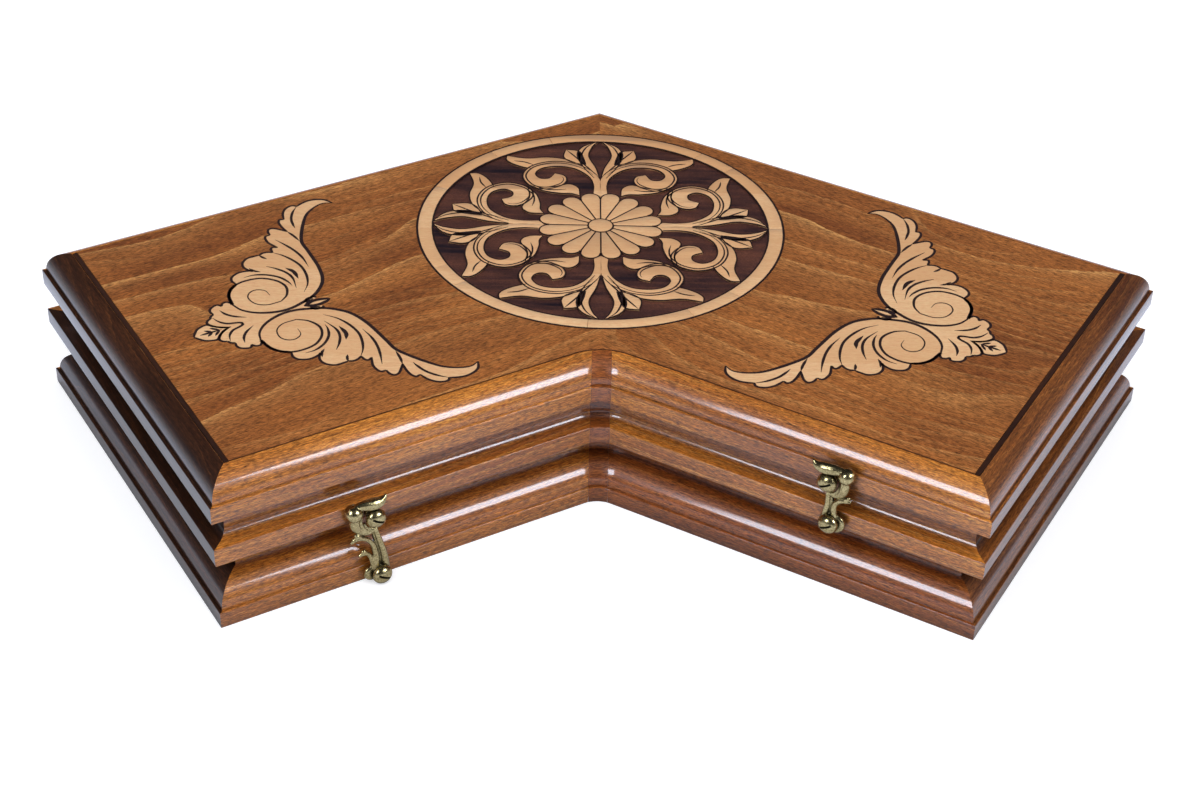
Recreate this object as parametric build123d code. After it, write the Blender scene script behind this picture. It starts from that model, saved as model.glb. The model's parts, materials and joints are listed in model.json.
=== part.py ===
from build123d import *
import os
from math import cos, radians, sin, tan

# Three-player backgammon board, closed: three chevron trays stacked on one outline.
# The top tray turns about the rear right side of the middle one, the bottom tray about
# its rear left side, and opened they lie as a three-armed star, playing faces up.
# Millimetres. +Z is up, X runs between the arm ends and the notch opens towards -Y.
# The origin is on the floor under the middle of the plan.

# Plan of every tray
arm_width = 250.0
inner_side = 226.0  # from the notch to the end of an arm
fall = 30.0  # degrees that an arm falls back from X, so that three trays fill a turn
notch_radius = 14.5
apex_radius = 6.0
wall = 26.0  # a frame rail, from its outer face to its inner face

# Build-up of a tray
tray_height = 31.0
rim_gap = 0.2  # between one tray and the next
panel_thick = 7.0
back_lip = 3.2  # of a rail that shows around a plain back panel
inlay_thick = 1.2
edge_gap = 0.1  # from a panel's edge to its rails

# Mouldings, as insets from the outer face and heights
quirk = 1.9
ovolo_depth = 12.5
ovolo_height = 14.5
top_band = 10.2
middle_band = 12.6
bottom_band = 9.7
back_riser = 8.2  # under the middle tray's band
face_inset = 10.0  # riser beside the rim that faces up or down
back_inset = 16.8  # riser beside a plain back
lip_radius = 3.7
cove_radius = 4.5

# Playing points
points_per_arm = 6
point_length = 150.0
point_gap = 1.2  # between the feet of two points

# Hinges
hinge_length = 42.0
hinge_setback = 70.0  # from an end of the rear side to a hinge's middle
leaf_thick = 1.2
leaf_air = 0.6  # between two leaves folded flat against each other
knuckle_radius = 2.5
knuckle_count = 3
knuckle_air = 0.2
pin_radius = 1.1
running_gap = 0.05
leaf_margin = 1.6  # from a leaf's free edge to the edge of the band that it is screwed to
hinge_screw_radius = 1.1
hinge_screw_head = 2.1
hinge_screw_length = 11.0
hinge_screw_pitch = 26.0

# Hook latches, with heights above the band that they are screwed to
latch_setback_left = 137.0  # along the arm, from the notch to the pivot
latch_setback_right = 141.5
keeper_shift_left = 2.3  # from the pivot to the keeper, along the arm
keeper_shift_right = -2.8
boss_radius = 3.9
boss_height = 2.2
latch_air = 0.15
hook_thick = 3.6
latch_shank = 2.0
keeper_air = 0.35
latch_head = 4.4
latch_head_side = 1.6
latch_head_dome = 2.6
latch_screw_depth = 14.0
slot_width = 1.1
slot_depth = 1.3
eye_radius_left = 5.2
eye_radius_right = 6.3
left_pivot_height = 5.7  # above the floor
left_keeper_rise = 5.3  # above the lower edge of the middle band
right_pivot_rise = 7.6
right_keeper_rise = 4.6  # above the lower edge of the top band
throat_outer = 6.4
ball_radius = 3.5

# Ornament let into the lid
medallion_setback = 140.0  # from the notch to the medallion's middle
medallion_margin = 6.4  # from the ring to the lid's edge at the rear sides
ring_width = 9.3
ground_depth = 2.0
relief = 1.0  # thickness of the pale scrolls that lie on the dark ground
petal_count = 16
petal_reach = 36.8
button_radius = 7.5
motif_setback = 43.7  # from the end of an arm to the bud of its leaf motif
motif_reach = 119.0  # from the bud to the tip of a wing, along the arm

# Sizes that follow from these
tray_pitch = tray_height + rim_gap
middle_base = tray_pitch
top_base = 2 * tray_pitch
total_height = top_base + tray_height
ovolo_inset = quirk + ovolo_depth
rebate_inset = back_inset + back_lip
plan_depth = (arm_width - apex_radius) / cos(radians(fall)) + apex_radius + inner_side * sin(radians(fall))
notch_y = inner_side * sin(radians(fall)) - plan_depth / 2
hinge_offset = leaf_thick + leaf_air / 2
medallion_radius = arm_width - ovolo_inset - medallion_setback * cos(radians(fall)) - medallion_margin
along = Vector(cos(radians(fall)), -sin(radians(fall)), 0)
across = Vector(sin(radians(fall)), cos(radians(fall)), 0)
up = Vector(0, 0, 1)
notch = Vector(0, notch_y, 0)
far = 2 * (arm_width + inner_side)


def spot(run, depth, height=0.0):
    # A place on the right arm: run from the notch along it, depth in from its inner side.
    return notch + along * run + across * depth + up * height


def corners(inset):
    # Apex, outer end, inner end and notch of the right arm, all sides drawn in by inset.
    spine = up.cross(Vector(1, 0, 0)) * (1 / cos(radians(fall)))
    return [
        notch + spine * (arm_width - inset),
        spot(inner_side - inset, arm_width - inset),
        spot(inner_side - inset, inset),
        notch + spine * inset,
    ]


def flat(points):
    return make_face(Polyline(*points, close=True))


def mirrored(part):
    return mirror(part, about=Plane.YZ)


def plan(inset):
    # The whole plan, drawn in by inset, with its rounded notch and apex.
    right = corners(inset)
    left = [Vector(-p.X, p.Y, 0) for p in right]
    face = flat([right[0], right[1], right[2], right[3], left[2], left[1]])
    at_notch = face.vertices().sort_by_distance(right[3])[0]
    face = fillet(at_notch, notch_radius + inset)
    if inset < apex_radius:
        at_apex = face.vertices().sort_by_distance(right[0])[0]
        face = fillet(at_apex, apex_radius - inset)
    return face


def half(shape):
    # The right half of something that crosses the middle plane.
    keep = Pos(far / 2, 0, 0) * Box(far, 2 * far, 4 * total_height)
    return shape & keep


# Sections of the rails: first number in from the outer face, second above the tray's base

def ovolo(inset, height):
    # Quarter round that leaves its band upright and meets the face above at a slight edge.
    return TangentArc((inset, height), (inset + ovolo_depth, height + ovolo_height), tangent=(0, 1))


def top_section():
    riser = tray_height - ovolo_height - top_band
    under = tray_height - panel_thick
    shoulder = ovolo_inset
    return make_face(Curve() + [
        Polyline(
            (shoulder, tray_height), (shoulder, under), (wall, under), (wall, 0), (face_inset, 0),
            (face_inset, riser), (0, riser), (0, riser + top_band), (quirk, riser + top_band),
        ),
        ovolo(quirk, riser + top_band),
    ])


def middle_section():
    band_foot = back_riser
    band_top = back_riser + middle_band
    return make_face(Curve() + [
        Polyline((back_inset, 0), (back_inset, band_foot), (lip_radius, band_foot)),
        CenterArc((lip_radius, band_foot + lip_radius), lip_radius, 180, 90),
        Polyline((0, band_foot + lip_radius), (0, band_top), (face_inset - cove_radius, band_top)),
        CenterArc((face_inset - cove_radius, band_top + cove_radius), cove_radius, 270, 90),
        Polyline(
            (face_inset, band_top + cove_radius), (face_inset, tray_height), (wall, tray_height),
            (wall, panel_thick), (rebate_inset, panel_thick), (rebate_inset, 0), (back_inset, 0),
        ),
    ])


def bottom_section():
    ledge = bottom_band + ovolo_height
    under = tray_height - panel_thick
    return make_face(Curve() + [
        Polyline(
            (ovolo_inset, ledge), (back_inset, ledge), (back_inset, tray_height), (rebate_inset, tray_height),
            (rebate_inset, under), (wall, under), (wall, 0), (0, 0), (0, bottom_band), (quirk, bottom_band),
        ),
        ovolo(quirk, bottom_band),
    ])


# Rails of the right arm, mitred at every corner

def straight(section, base, start, inward, trim):
    lie = Plane(origin=start + up * base, x_dir=inward, z_dir=inward.cross(up))
    return extrude(lie * section, amount=far, both=True) & extrude(flat(trim), amount=total_height)


def inner_rail(section, base):
    begin = notch_radius * tan(radians(fall))
    past, back = corners(-1), corners(wall)
    trim = [spot(begin, -1), past[2], back[2], spot(begin, wall)]
    bar = straight(section, base, notch, across, trim)
    centre = notch - up.cross(Vector(1, 0, 0)) * (notch_radius / cos(radians(fall)))
    start = Plane(origin=centre + across * notch_radius + up * base, x_dir=across, z_dir=across.cross(up))
    bend = revolve(start * section, axis=Axis(centre, up), revolution_arc=fall)
    return bar + bend


def outer_rail(section, base):
    past, back = corners(-1), corners(wall)
    bar = straight(section, base, spot(0, arm_width), across * -1, [past[0], past[1], back[1], back[0]])
    return bar & extrude(plan(0), amount=total_height)


def end_rail(section, base):
    past, back = corners(-1), corners(wall)
    return straight(section, base, spot(inner_side, 0), along * -1, [past[1], past[2], back[2], back[1]])


# Panels and the points let into their playing face

def panel(inset, base):
    return half(Pos(0, 0, base) * extrude(plan(inset + edge_gap), amount=panel_thick))


def point(index, base):
    first = notch_radius * tan(radians(fall))
    pitch = (inner_side - wall - first) / points_per_arm
    foot = first + pitch * index
    depth = wall + edge_gap
    outline = [
        spot(foot + point_gap / 2, depth), spot(foot + pitch - point_gap / 2, depth),
        spot(foot + pitch / 2, depth + point_length),
    ]
    return Pos(0, 0, base) * extrude(flat(outline), amount=inlay_thick)


def points(first, base):
    right = [point(index, base) for index in range(first, points_per_arm, 2)]
    # a light point on one arm stands where the other arm has a dark one
    left = [mirrored(point(index, base)) for index in range(1 - first, points_per_arm, 2)]
    return right + left


# Hinges on a rear side, seen with the pin along X and the band's face at Y = 0

def knuckles(first):
    width = hinge_length / knuckle_count
    spans = []
    for index in range(first, knuckle_count, 2):
        middle = -hinge_length / 2 + width * (index + 0.5)
        spans.append((middle, width - knuckle_air))
    return spans


def leaf(first, reach, screw_at):
    # A leaf that rises from the pin by reach, with every second knuckle from first on.
    foot = knuckle_radius + leaf_air / 2
    plate = Pos(0, leaf_thick / 2, (foot + reach) / 2) * Box(hinge_length, leaf_thick, reach - foot)
    for middle, width in knuckles(first):
        roll = Pos(middle, hinge_offset, 0) * Rot(0, 90, 0) * Cylinder(knuckle_radius, width)
        tab = Pos(middle, leaf_thick / 2, foot / 2) * Box(width, leaf_thick, foot)
        plate += roll + tab
    plate -= Pos(0, hinge_offset, 0) * Rot(0, 90, 0) * Cylinder(pin_radius + running_gap, hinge_length + 1)
    for x in (-hinge_screw_pitch / 2, hinge_screw_pitch / 2):
        plate -= Pos(x, 0, screw_at) * hinge_screw(running_gap)
    return plate


def hinge_screw(gap=0.0):
    # Countersunk, flush with the leaf's face and run into the rail.
    radius, head = hinge_screw_radius + gap, hinge_screw_head + gap
    taper = head - radius
    profile = flat([
        (0, leaf_thick), (head, leaf_thick), (radius, leaf_thick - taper),
        (radius, leaf_thick - hinge_screw_length - gap), (0, leaf_thick - hinge_screw_length - gap),
    ])
    return revolve(profile, axis=Axis.Y, revolution_arc=360)


def hinge_pin():
    return Pos(0, hinge_offset, 0) * Rot(0, 90, 0) * Cylinder(pin_radius, hinge_length)


def hinge_places():
    # Middles of the hinges along the rear side, as runs from the notch.
    apex_run = -arm_width * tan(radians(fall))
    return [apex_run + hinge_setback, inner_side - hinge_setback]


def on_rear(part, run, height, flip=False):
    # Sets a hinge part on the rear right side, turned over where its leaf hangs down.
    lie = Plane(origin=spot(run, arm_width, height), x_dir=across.cross(up), z_dir=up)
    return lie * (Rot(0, 180, 0) * part if flip else part)


def hinge_set(height, upper_reach, upper_screw, lower_reach, lower_screw):
    # Upper and lower leaves, their screws and the pins of one rear side.
    upper, lower, upper_screws, lower_screws, pins = [], [], [], [], []
    for run in hinge_places():
        upper.append(on_rear(leaf(1, upper_reach, upper_screw), run, height))
        lower.append(on_rear(leaf(0, lower_reach, lower_screw), run, height, flip=True))
        pins.append(on_rear(hinge_pin(), run, height))
        for x in (-hinge_screw_pitch / 2, hinge_screw_pitch / 2):
            upper_screws.append(on_rear(Pos(x, 0, upper_screw) * hinge_screw(), run, height))
            lower_screws.append(on_rear(Pos(x, 0, lower_screw) * hinge_screw(), run, height, flip=True))
    return upper, lower, upper_screws, lower_screws, pins


def screw_holes(height, screw_at):
    tools = []
    for run in hinge_places():
        for x in (-hinge_screw_pitch / 2, hinge_screw_pitch / 2):
            tools.append(on_rear(Pos(x, 0, abs(screw_at)) * hinge_screw(running_gap), run, height, screw_at < 0))
    return tools


# Hook latches, drawn with the pivot at the origin, X along the arm, Y up and Z out of the band

def sickle(start, end, outer, inner):
    # A curved leaf between two points: each side is an arc that rises to the left of the line.
    a, b = Vector(*start), Vector(*end)
    middle = (a + b) * 0.5
    side = up.cross(b - a).normalized()
    return make_face(Curve() + [
        ThreePointArc(a, middle + side * outer, b),
        ThreePointArc(b, middle + side * inner, a),
    ])


def slotted_screw():
    # Domed head with a slot, over a plain shank that runs through the hook into the rail.
    seat = boss_height + hook_thick + 2 * latch_air
    rim = seat + latch_head_side
    crown = rim + latch_head_dome
    profile = make_face(Curve() + [
        Polyline(
            (0, crown), (0, -latch_screw_depth), (latch_shank, -latch_screw_depth), (latch_shank, seat),
            (latch_head, seat), (latch_head, rim),
        ),
        TangentArc((0, crown), (latch_head, rim), tangent=(1, 0)),
    ])
    body = revolve(Plane.XZ * profile, axis=Axis.Z, revolution_arc=360)
    return body - Pos(0, 0, crown) * Box(3 * latch_head, slot_width, 2 * slot_depth)


def boss():
    # Round foot between the band and the hook, around a screw.
    ring = Circle(boss_radius) - Circle(latch_shank + running_gap)
    return extrude(ring, amount=boss_height)


def keeper():
    # Foot and screw of a keeper are one turned piece.
    body = slotted_screw() + extrude(Circle(boss_radius), amount=boss_height)
    return body


def hook(reach, shift, eye_radius, curls):
    # Eye, tapering arm with leaf curls, open throat round the keeper, ball and thumb leaf.
    neck = (shift + 2.2, reach - throat_outer + 0.6)
    arm = flat([
        (-eye_radius * 0.85, 1.5), (eye_radius * 0.85, 1.5), (neck[0] + 2.4, neck[1]), (neck[0] - 2.6, neck[1]),
    ])
    outline = Circle(eye_radius) + arm
    for curl in range(curls):
        root = eye_radius + 3 + curl * 11
        outline += sickle((0.5, root), (11 - curl, root + 6), 4.6, 1.2)
    head = Circle(throat_outer) + Pos(5.2, 2.6) * Circle(4.4) + Pos(9.2, 6.6) * Circle(ball_radius - 0.3)
    slack = latch_shank + keeper_air
    mouth = Circle(slack) + Pos(-throat_outer, 0) * Rectangle(2 * throat_outer, 2 * slack)
    jaw = Pos(-throat_outer - 1.6, -throat_outer) * Rectangle(2 * throat_outer, 2 * throat_outer)
    outline += Pos(shift, reach) * (head - mouth - jaw)
    thumb = Pos(shift, reach) * sickle((9.4, 8.6), (-6.8, 13.2), 5.4, 1.8)
    level = boss_height + latch_air
    body = Pos(0, 0, level) * extrude(outline - Circle(latch_shank + running_gap), amount=hook_thick)
    body += Pos(0, 0, level) * extrude(thumb, amount=hook_thick + 1)
    body += Pos(shift + 9.2, reach + 6.6, level + hook_thick * 0.7) * Sphere(ball_radius)
    return body


def on_front(part, run, height):
    # Sets a latch part on the inner side of the right arm.
    return Plane(origin=spot(run, 0, height), x_dir=along, z_dir=across * -1) * part


def latch_hole(run, height):
    return on_front(Pos(0, 0, -far / 2) * Cylinder(latch_shank + running_gap, far), run, height)


# Ornament of the lid

def medallion_centre():
    return notch + up.cross(Vector(1, 0, 0)) * medallion_setback


def at_medallion(part, turn=0.0):
    return Pos(medallion_centre()) * Rot(0, 0, turn) * part


def flower():
    # Rosette of round-ended petals that touch, with a seam on each axis.
    half = radians(180 / petal_count)
    round_end = petal_reach * sin(half) / (1 + sin(half))
    edge = (petal_reach - round_end) * cos(half)
    left, right = (edge * cos(half), edge * sin(half)), (edge * cos(half), -edge * sin(half))
    petal = make_face(Curve() + [
        Line((0, 0), right), ThreePointArc(right, (petal_reach, 0), left), Line(left, (0, 0)),
    ])
    shape = Sketch()
    for index in range(petal_count):
        shape += Rot(0, 0, (index + 0.5) * 360 / petal_count) * petal
    return shape


def ribbon(one, other):
    # Flat band between two smooth lines that end in the same tip.
    return make_face(Curve() + [Spline(*one), Spline(*other), Line(one[0], other[0])])


# The medallion's motifs lie beside its X axis, between the petals and the ring

def between(places):
    # Points given by their share of the way from petals to ring, and degrees off the axis.
    inside = medallion_radius - ring_width
    points = []
    for share, turn in places:
        radius = petal_reach + share * (inside - petal_reach)
        points.append((radius * cos(radians(turn)), radius * sin(radians(turn))))
    return points


def tulip():
    # One curved petal of a tulip, and the small leaf beside it.
    petal = ribbon(
        between([(0.28, 0.2), (0.47, 2.2), (0.70, 4.9), (0.88, 3.1), (0.99, 0.8)]),
        between([(0.28, 3.8), (0.52, 8.8), (0.75, 9.7), (0.90, 6.5), (0.99, 0.8)]),
    )
    leaf = ribbon(between([(0.55, 8), (0.66, 14.6), (0.86, 16)]), between([(0.55, 9), (0.75, 10.8), (0.86, 16)]))
    return petal + leaf


def scroll():
    # C-scroll that grows from a petal, with a hooked leaf outside and a blunt one inside.
    band = ribbon(
        between([
            (0, 0), (0.23, 0), (0.43, 5), (0.59, 13.4), (0.68, 22.3), (0.68, 32.1), (0.57, 40.5),
            (0.37, 44), (0.24, 38.5), (0.22, 27.4), (0.29, 21.6), (0.38, 21.1), (0.46, 25),
        ]),
        between([
            (0, 6.5), (0.15, 5), (0.32, 7.1), (0.48, 13.4), (0.57, 21.1), (0.60, 28.3), (0.54, 33.8),
            (0.45, 34.6), (0.40, 30.3), (0.46, 25),
        ]),
    )
    hooked = ribbon(
        between([(0.66, 19.6), (0.79, 27.9), (0.85, 34), (0.97, 36.8)]),
        between([(0.65, 31.2), (0.73, 35), (0.82, 39), (0.97, 36.8)]),
    )
    blunt = ribbon(
        between([(0.47, 43.5), (0.30, 44.8), (0.13, 38.5), (0.03, 21)]),
        between([(0.41, 43), (0.24, 35.5), (0.22, 24.5), (0.03, 21)]),
    )
    return band + hooked + blunt


def scrolls():
    # Each quarter of the medallion has a tulip half and a scroll on both sides of its axis.
    solids = []
    for quarter in range(4):
        for motif in (tulip(), scroll()):
            raised = Pos(0, 0, total_height - relief) * extrude(motif, amount=relief)
            solids.append(at_medallion(raised, quarter * 90))
            solids.append(at_medallion(mirror(raised, about=Plane.XZ), quarter * 90))
    return solids


def arm_motif():
    # Bud, volute and leafy wing on one side of the arm's middle line, on a grid of 100 to a wing's tip.
    bud = sickle((14, 0), (0, 0), 7, -7)
    sheath = sickle((35, 0), (12, 0), 6, -6) + sickle((30, 7), (10, 11), 2, -4) + sickle((32, 10), (17, 20), 3, -4)
    inner_leaf = sickle((66, 0), (32, 0), 3.4, -3.4)
    volute = Pos(39, 18.6) * Circle(13)
    blade = ribbon(
        [(35, 5.5), (47, 0.3), (58, 3.8), (67, 11), (73.5, 21.6), (76.5, 32), (78, 46), (80, 59), (86.5, 71), (100, 86)],
        [(37, 29), (49, 37), (60, 45), (68, 53), (74, 64), (83, 76), (100, 86)],
    )
    lobes = sickle((40, 30), (34, 38), 4, -3) + sickle((50, 35), (44, 49), 5, -3) + sickle((60, 39), (55, 52), 4, -3)
    tips = sickle((70, 49), (68, 69), 4, -4) + sickle((79, 60), (78, 80), 3.5, -3.5)
    return bud + sheath + inner_leaf + volute + blade + lobes + tips


def arm_inlay():
    # The leaf motif of the right arm: its bud points to the end, its wings spread to the medallion.
    half_motif = scale(arm_motif(), by=motif_reach / 100)
    shape = half_motif + mirror(half_motif, about=Plane.XZ)
    bud = spot(inner_side - motif_setback, arm_width / 2, total_height - inlay_thick)
    return Plane(origin=bud, x_dir=along * -1, z_dir=up) * extrude(shape, amount=inlay_thick)


# Assembly

def build():
    parts = {}
    trays = {
        "top": (top_section(), top_base, tray_height - panel_thick, ovolo_inset, 0),
        "middle": (middle_section(), middle_base, 0, rebate_inset, panel_thick - inlay_thick),
        "bottom": (bottom_section(), 0, tray_height - panel_thick, rebate_inset, 0),
    }
    for name, (section, base, panel_base, inset, face) in trays.items():
        rails = {
            "inner": inner_rail(section, base),
            "outer": outer_rail(section, base),
            "end": end_rail(section, base),
        }
        for kind, rail in rails.items():
            parts[f"{name}_{kind}_rail_right"] = rail
            parts[f"{name}_{kind}_rail_left"] = mirrored(rail)
        light = points(0, base + panel_base + face)
        dark = points(1, base + panel_base + face)
        board = panel(inset, base + panel_base)
        parts[f"{name}_panel_right"] = board - light - dark
        parts[f"{name}_panel_left"] = mirrored(board) - light - dark
        parts[f"{name}_points_light"] = Compound(children=light)
        parts[f"{name}_points_dark"] = Compound(children=dark)

    add_ornament(parts)
    add_hinges(parts)
    add_latches(parts)
    return parts


def add_ornament(parts):
    disc = at_medallion(Cylinder(medallion_radius, 2 * ground_depth))
    pocket = Pos(0, 0, total_height) * disc
    inlay = arm_inlay()
    parts["top_panel_right"] = parts["top_panel_right"] - pocket - inlay
    parts["top_panel_left"] = parts["top_panel_left"] - pocket - mirrored(inlay)
    parts["arm_inlay_right"] = inlay
    parts["arm_inlay_left"] = mirrored(inlay)
    inside = medallion_radius - ring_width
    band = Circle(medallion_radius) - Circle(inside)
    foot = total_height - ground_depth
    parts["medallion_ring"] = Pos(0, 0, foot) * at_medallion(extrude(band, amount=ground_depth))
    parts["medallion_ground"] = Pos(0, 0, foot) * at_medallion(
        extrude(Circle(inside), amount=ground_depth - relief)
    )
    parts["rosette_flower"] = Pos(0, 0, total_height - relief) * at_medallion(extrude(flower(), amount=relief))
    parts["rosette_scrolls"] = Compound(children=scrolls())


def drill(parts, name, tools):
    for tool in tools:
        parts[name] = parts[name] - tool


def add_hinges(parts):
    # The top tray's pins lie in its parting plane on the right, the bottom tray's on the left.
    top_pin = top_base - rim_gap / 2
    riser = tray_height - ovolo_height - top_band
    top_reach = riser + top_band - leaf_margin
    top_screw = riser + top_band / 2
    band_top = middle_base + back_riser + middle_band
    band_mid = band_top - (middle_band - lip_radius) / 2
    fall_reach = top_pin - (band_top - middle_band + lip_radius) - leaf_margin / 2
    fall_screw = top_pin - band_mid
    upper, lower, upper_screws, lower_screws, pins = hinge_set(
        top_pin, top_reach, top_screw, fall_reach, fall_screw
    )
    parts["top_hinge_leaves"] = Compound(children=upper)
    parts["middle_hinge_leaves_right"] = Compound(children=lower)
    parts["top_hinge_screws"] = Compound(children=upper_screws)
    parts["middle_hinge_screws_right"] = Compound(children=lower_screws)
    parts["top_hinge_pins"] = Compound(children=pins)
    drill(parts, "top_outer_rail_right", screw_holes(top_pin, top_screw))
    drill(parts, "middle_outer_rail_right", screw_holes(top_pin, -fall_screw))

    bottom_pin = middle_base - rim_gap / 2
    rise_reach = band_top - bottom_pin - leaf_margin
    rise_screw = band_mid - bottom_pin
    drop_reach = bottom_pin - leaf_margin
    drop_screw = bottom_pin - bottom_band / 2
    upper, lower, upper_screws, lower_screws, pins = hinge_set(
        bottom_pin, rise_reach, rise_screw, drop_reach, drop_screw
    )
    parts["middle_hinge_leaves_left"] = mirrored(Compound(children=upper))
    parts["bottom_hinge_leaves"] = mirrored(Compound(children=lower))
    parts["middle_hinge_screws_left"] = mirrored(Compound(children=upper_screws))
    parts["bottom_hinge_screws"] = mirrored(Compound(children=lower_screws))
    parts["bottom_hinge_pins"] = mirrored(Compound(children=pins))
    drill(parts, "middle_outer_rail_left", [mirrored(t) for t in screw_holes(bottom_pin, rise_screw)])
    drill(parts, "bottom_outer_rail_left", [mirrored(t) for t in screw_holes(bottom_pin, -drop_screw)])


def add_latches(parts):
    middle_foot = middle_base + back_riser
    top_foot = top_base + tray_height - ovolo_height - top_band
    right_pivot = middle_foot + right_pivot_rise
    right_keeper = top_foot + right_keeper_rise
    left_keeper = middle_foot + left_keeper_rise
    run = latch_setback_right
    parts["right_hook"] = on_front(
        hook(right_keeper - right_pivot, keeper_shift_right, eye_radius_right, 1), run, right_pivot
    )
    parts["right_hook_screw"] = on_front(slotted_screw(), run, right_pivot)
    parts["right_hook_boss"] = on_front(boss(), run, right_pivot)
    parts["right_keeper"] = on_front(keeper(), run + keeper_shift_right, right_keeper)
    drill(parts, "middle_inner_rail_right", [latch_hole(run, right_pivot)])
    drill(parts, "top_inner_rail_right", [latch_hole(run + keeper_shift_right, right_keeper)])

    run = latch_setback_left
    parts["left_hook"] = mirrored(on_front(
        hook(left_keeper - left_pivot_height, keeper_shift_left, eye_radius_left, 2), run, left_pivot_height
    ))
    parts["left_hook_screw"] = mirrored(on_front(slotted_screw(), run, left_pivot_height))
    parts["left_hook_boss"] = mirrored(on_front(boss(), run, left_pivot_height))
    parts["left_keeper"] = mirrored(on_front(keeper(), run + keeper_shift_left, left_keeper))
    drill(parts, "bottom_inner_rail_left", [mirrored(latch_hole(run, left_pivot_height))])
    drill(parts, "middle_inner_rail_left", [mirrored(latch_hole(run + keeper_shift_left, left_keeper))])


os.makedirs("parts", exist_ok=True)
for name, shape in build().items():
    export_step(shape, f"parts/{name}.step")
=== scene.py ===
import bpy
import bmesh
import json
from math import asin, cos, pi, radians, sin, tan
from mathutils import Matrix, Vector
from mathutils.geometry import tessellate_polygon

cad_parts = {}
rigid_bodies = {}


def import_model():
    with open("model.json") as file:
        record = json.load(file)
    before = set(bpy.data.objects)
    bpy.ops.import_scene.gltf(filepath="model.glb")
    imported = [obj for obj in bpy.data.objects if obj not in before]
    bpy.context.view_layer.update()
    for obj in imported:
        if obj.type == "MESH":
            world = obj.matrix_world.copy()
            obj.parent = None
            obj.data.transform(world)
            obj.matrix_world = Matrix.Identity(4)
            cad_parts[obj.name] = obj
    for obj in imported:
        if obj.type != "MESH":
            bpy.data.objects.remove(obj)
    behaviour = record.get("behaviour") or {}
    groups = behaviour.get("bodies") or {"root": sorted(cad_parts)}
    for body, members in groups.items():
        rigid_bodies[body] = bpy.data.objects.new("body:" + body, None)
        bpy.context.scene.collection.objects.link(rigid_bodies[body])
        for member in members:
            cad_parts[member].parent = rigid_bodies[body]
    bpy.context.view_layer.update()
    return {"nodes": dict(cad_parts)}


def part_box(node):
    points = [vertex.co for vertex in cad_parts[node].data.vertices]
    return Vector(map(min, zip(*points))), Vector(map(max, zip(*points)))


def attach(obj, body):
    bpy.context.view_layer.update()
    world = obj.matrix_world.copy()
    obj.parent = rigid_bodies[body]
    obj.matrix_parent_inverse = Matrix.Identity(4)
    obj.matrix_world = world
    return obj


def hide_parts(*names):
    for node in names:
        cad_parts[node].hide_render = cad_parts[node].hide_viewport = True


# A three-player backgammon board, closed: three chevron trays with moulded rails, an inlaid
# lid, brass hook latches on the notch side and hinges at the rear.
mm = 0.001
scene = bpy.context.scene
weld, pinch, shortEdge = 0.002 * mm, 0.001 * mm, 0.01 * mm  # points nearer than these count as one
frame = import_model()
up = Vector((0, 0, 1))

# The plan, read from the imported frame
fall = radians(30)  # an arm falls back by this from X
innerLow, innerHigh = [Vector(p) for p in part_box("bottom_inner_rail_right")]
outerHigh = Vector(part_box("bottom_outer_rail_right")[1])
innerSide = innerHigh.x / cos(fall)
armWidth = (outerHigh.x - innerHigh.x) / sin(fall)
notch = Vector((0, innerLow.y + innerSide * sin(fall), 0))
along = Vector((cos(fall), -sin(fall), 0))
across = Vector((sin(fall), cos(fall), 0))
trayBase = {name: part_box(name + "_inner_rail_right")[0][2] for name in ("bottom", "middle", "top")}
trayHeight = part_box("top_inner_rail_right")[1][2] - trayBase["top"]
lidTop = trayBase["top"] + trayHeight
medallionLow, medallionHigh = [Vector(p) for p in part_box("medallion_ring")]
medallionCentre = (medallionLow + medallionHigh) / 2
medallionRadius = (medallionHigh.x - medallionLow.x) / 2


def inMetres(sizes):  # for a dictionary of sizes written in millimetres
    return {name: size * mm for name, size in sizes.items()}


rail = inMetres({
    "wall": 26, "notchRadius": 14.5, "apexRadius": 6, "panelThick": 7, "backLip": 3.2, "quirk": 1.9,
    "ovoloDepth": 12.5, "ovoloHeight": 14.5, "topBand": 10.2, "middleBand": 12.6, "bottomBand": 9.7,
    "backRiser": 8.2, "faceInset": 10, "backInset": 16.8, "lipRadius": 3.7, "coveRadius": 4.5,
    "arris": 0.35, "softArris": 0.6, "jointGap": 0.12, "blockHalf": 5.3, "meeting": 0.1,
})


# All is drawn on the right arm. A spot is a run outward and a depth across, from the notch.

def spot(run, depth, height=0.0):
    return notch + along * run + across * depth + up * height


def cornerAt(inset, which):  # apex, outer or inner corner of the arm, its sides drawn in by inset
    if which == "apex":
        return notch + Vector((0, (armWidth - inset) / cos(fall), 0))
    return spot(innerSide - inset, armWidth - inset if which == "outer" else inset)


def onSide(point, side):
    return Vector((-point.x, point.y, point.z)) if side == "left" else point


# Mesh helpers

def newObject(name, bm, sharp=35):
    bmesh.ops.remove_doubles(bm, verts=bm.verts, dist=weld)
    bmesh.ops.recalc_face_normals(bm, faces=bm.faces)
    mesh = bpy.data.meshes.new(name)
    bm.to_mesh(mesh)
    bm.free()
    for face in mesh.polygons:
        face.use_smooth = True
    mesh.set_sharp_from_angle(angle=radians(sharp))
    piece = bpy.data.objects.new(name, mesh)
    scene.collection.objects.link(piece)
    return piece


def dress(piece, body, material, slotName, *nodes):
    piece.data.materials.clear()
    piece.data.materials.append(material)
    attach(piece, body)
    if nodes:
        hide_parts(*nodes)
    return piece


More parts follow.
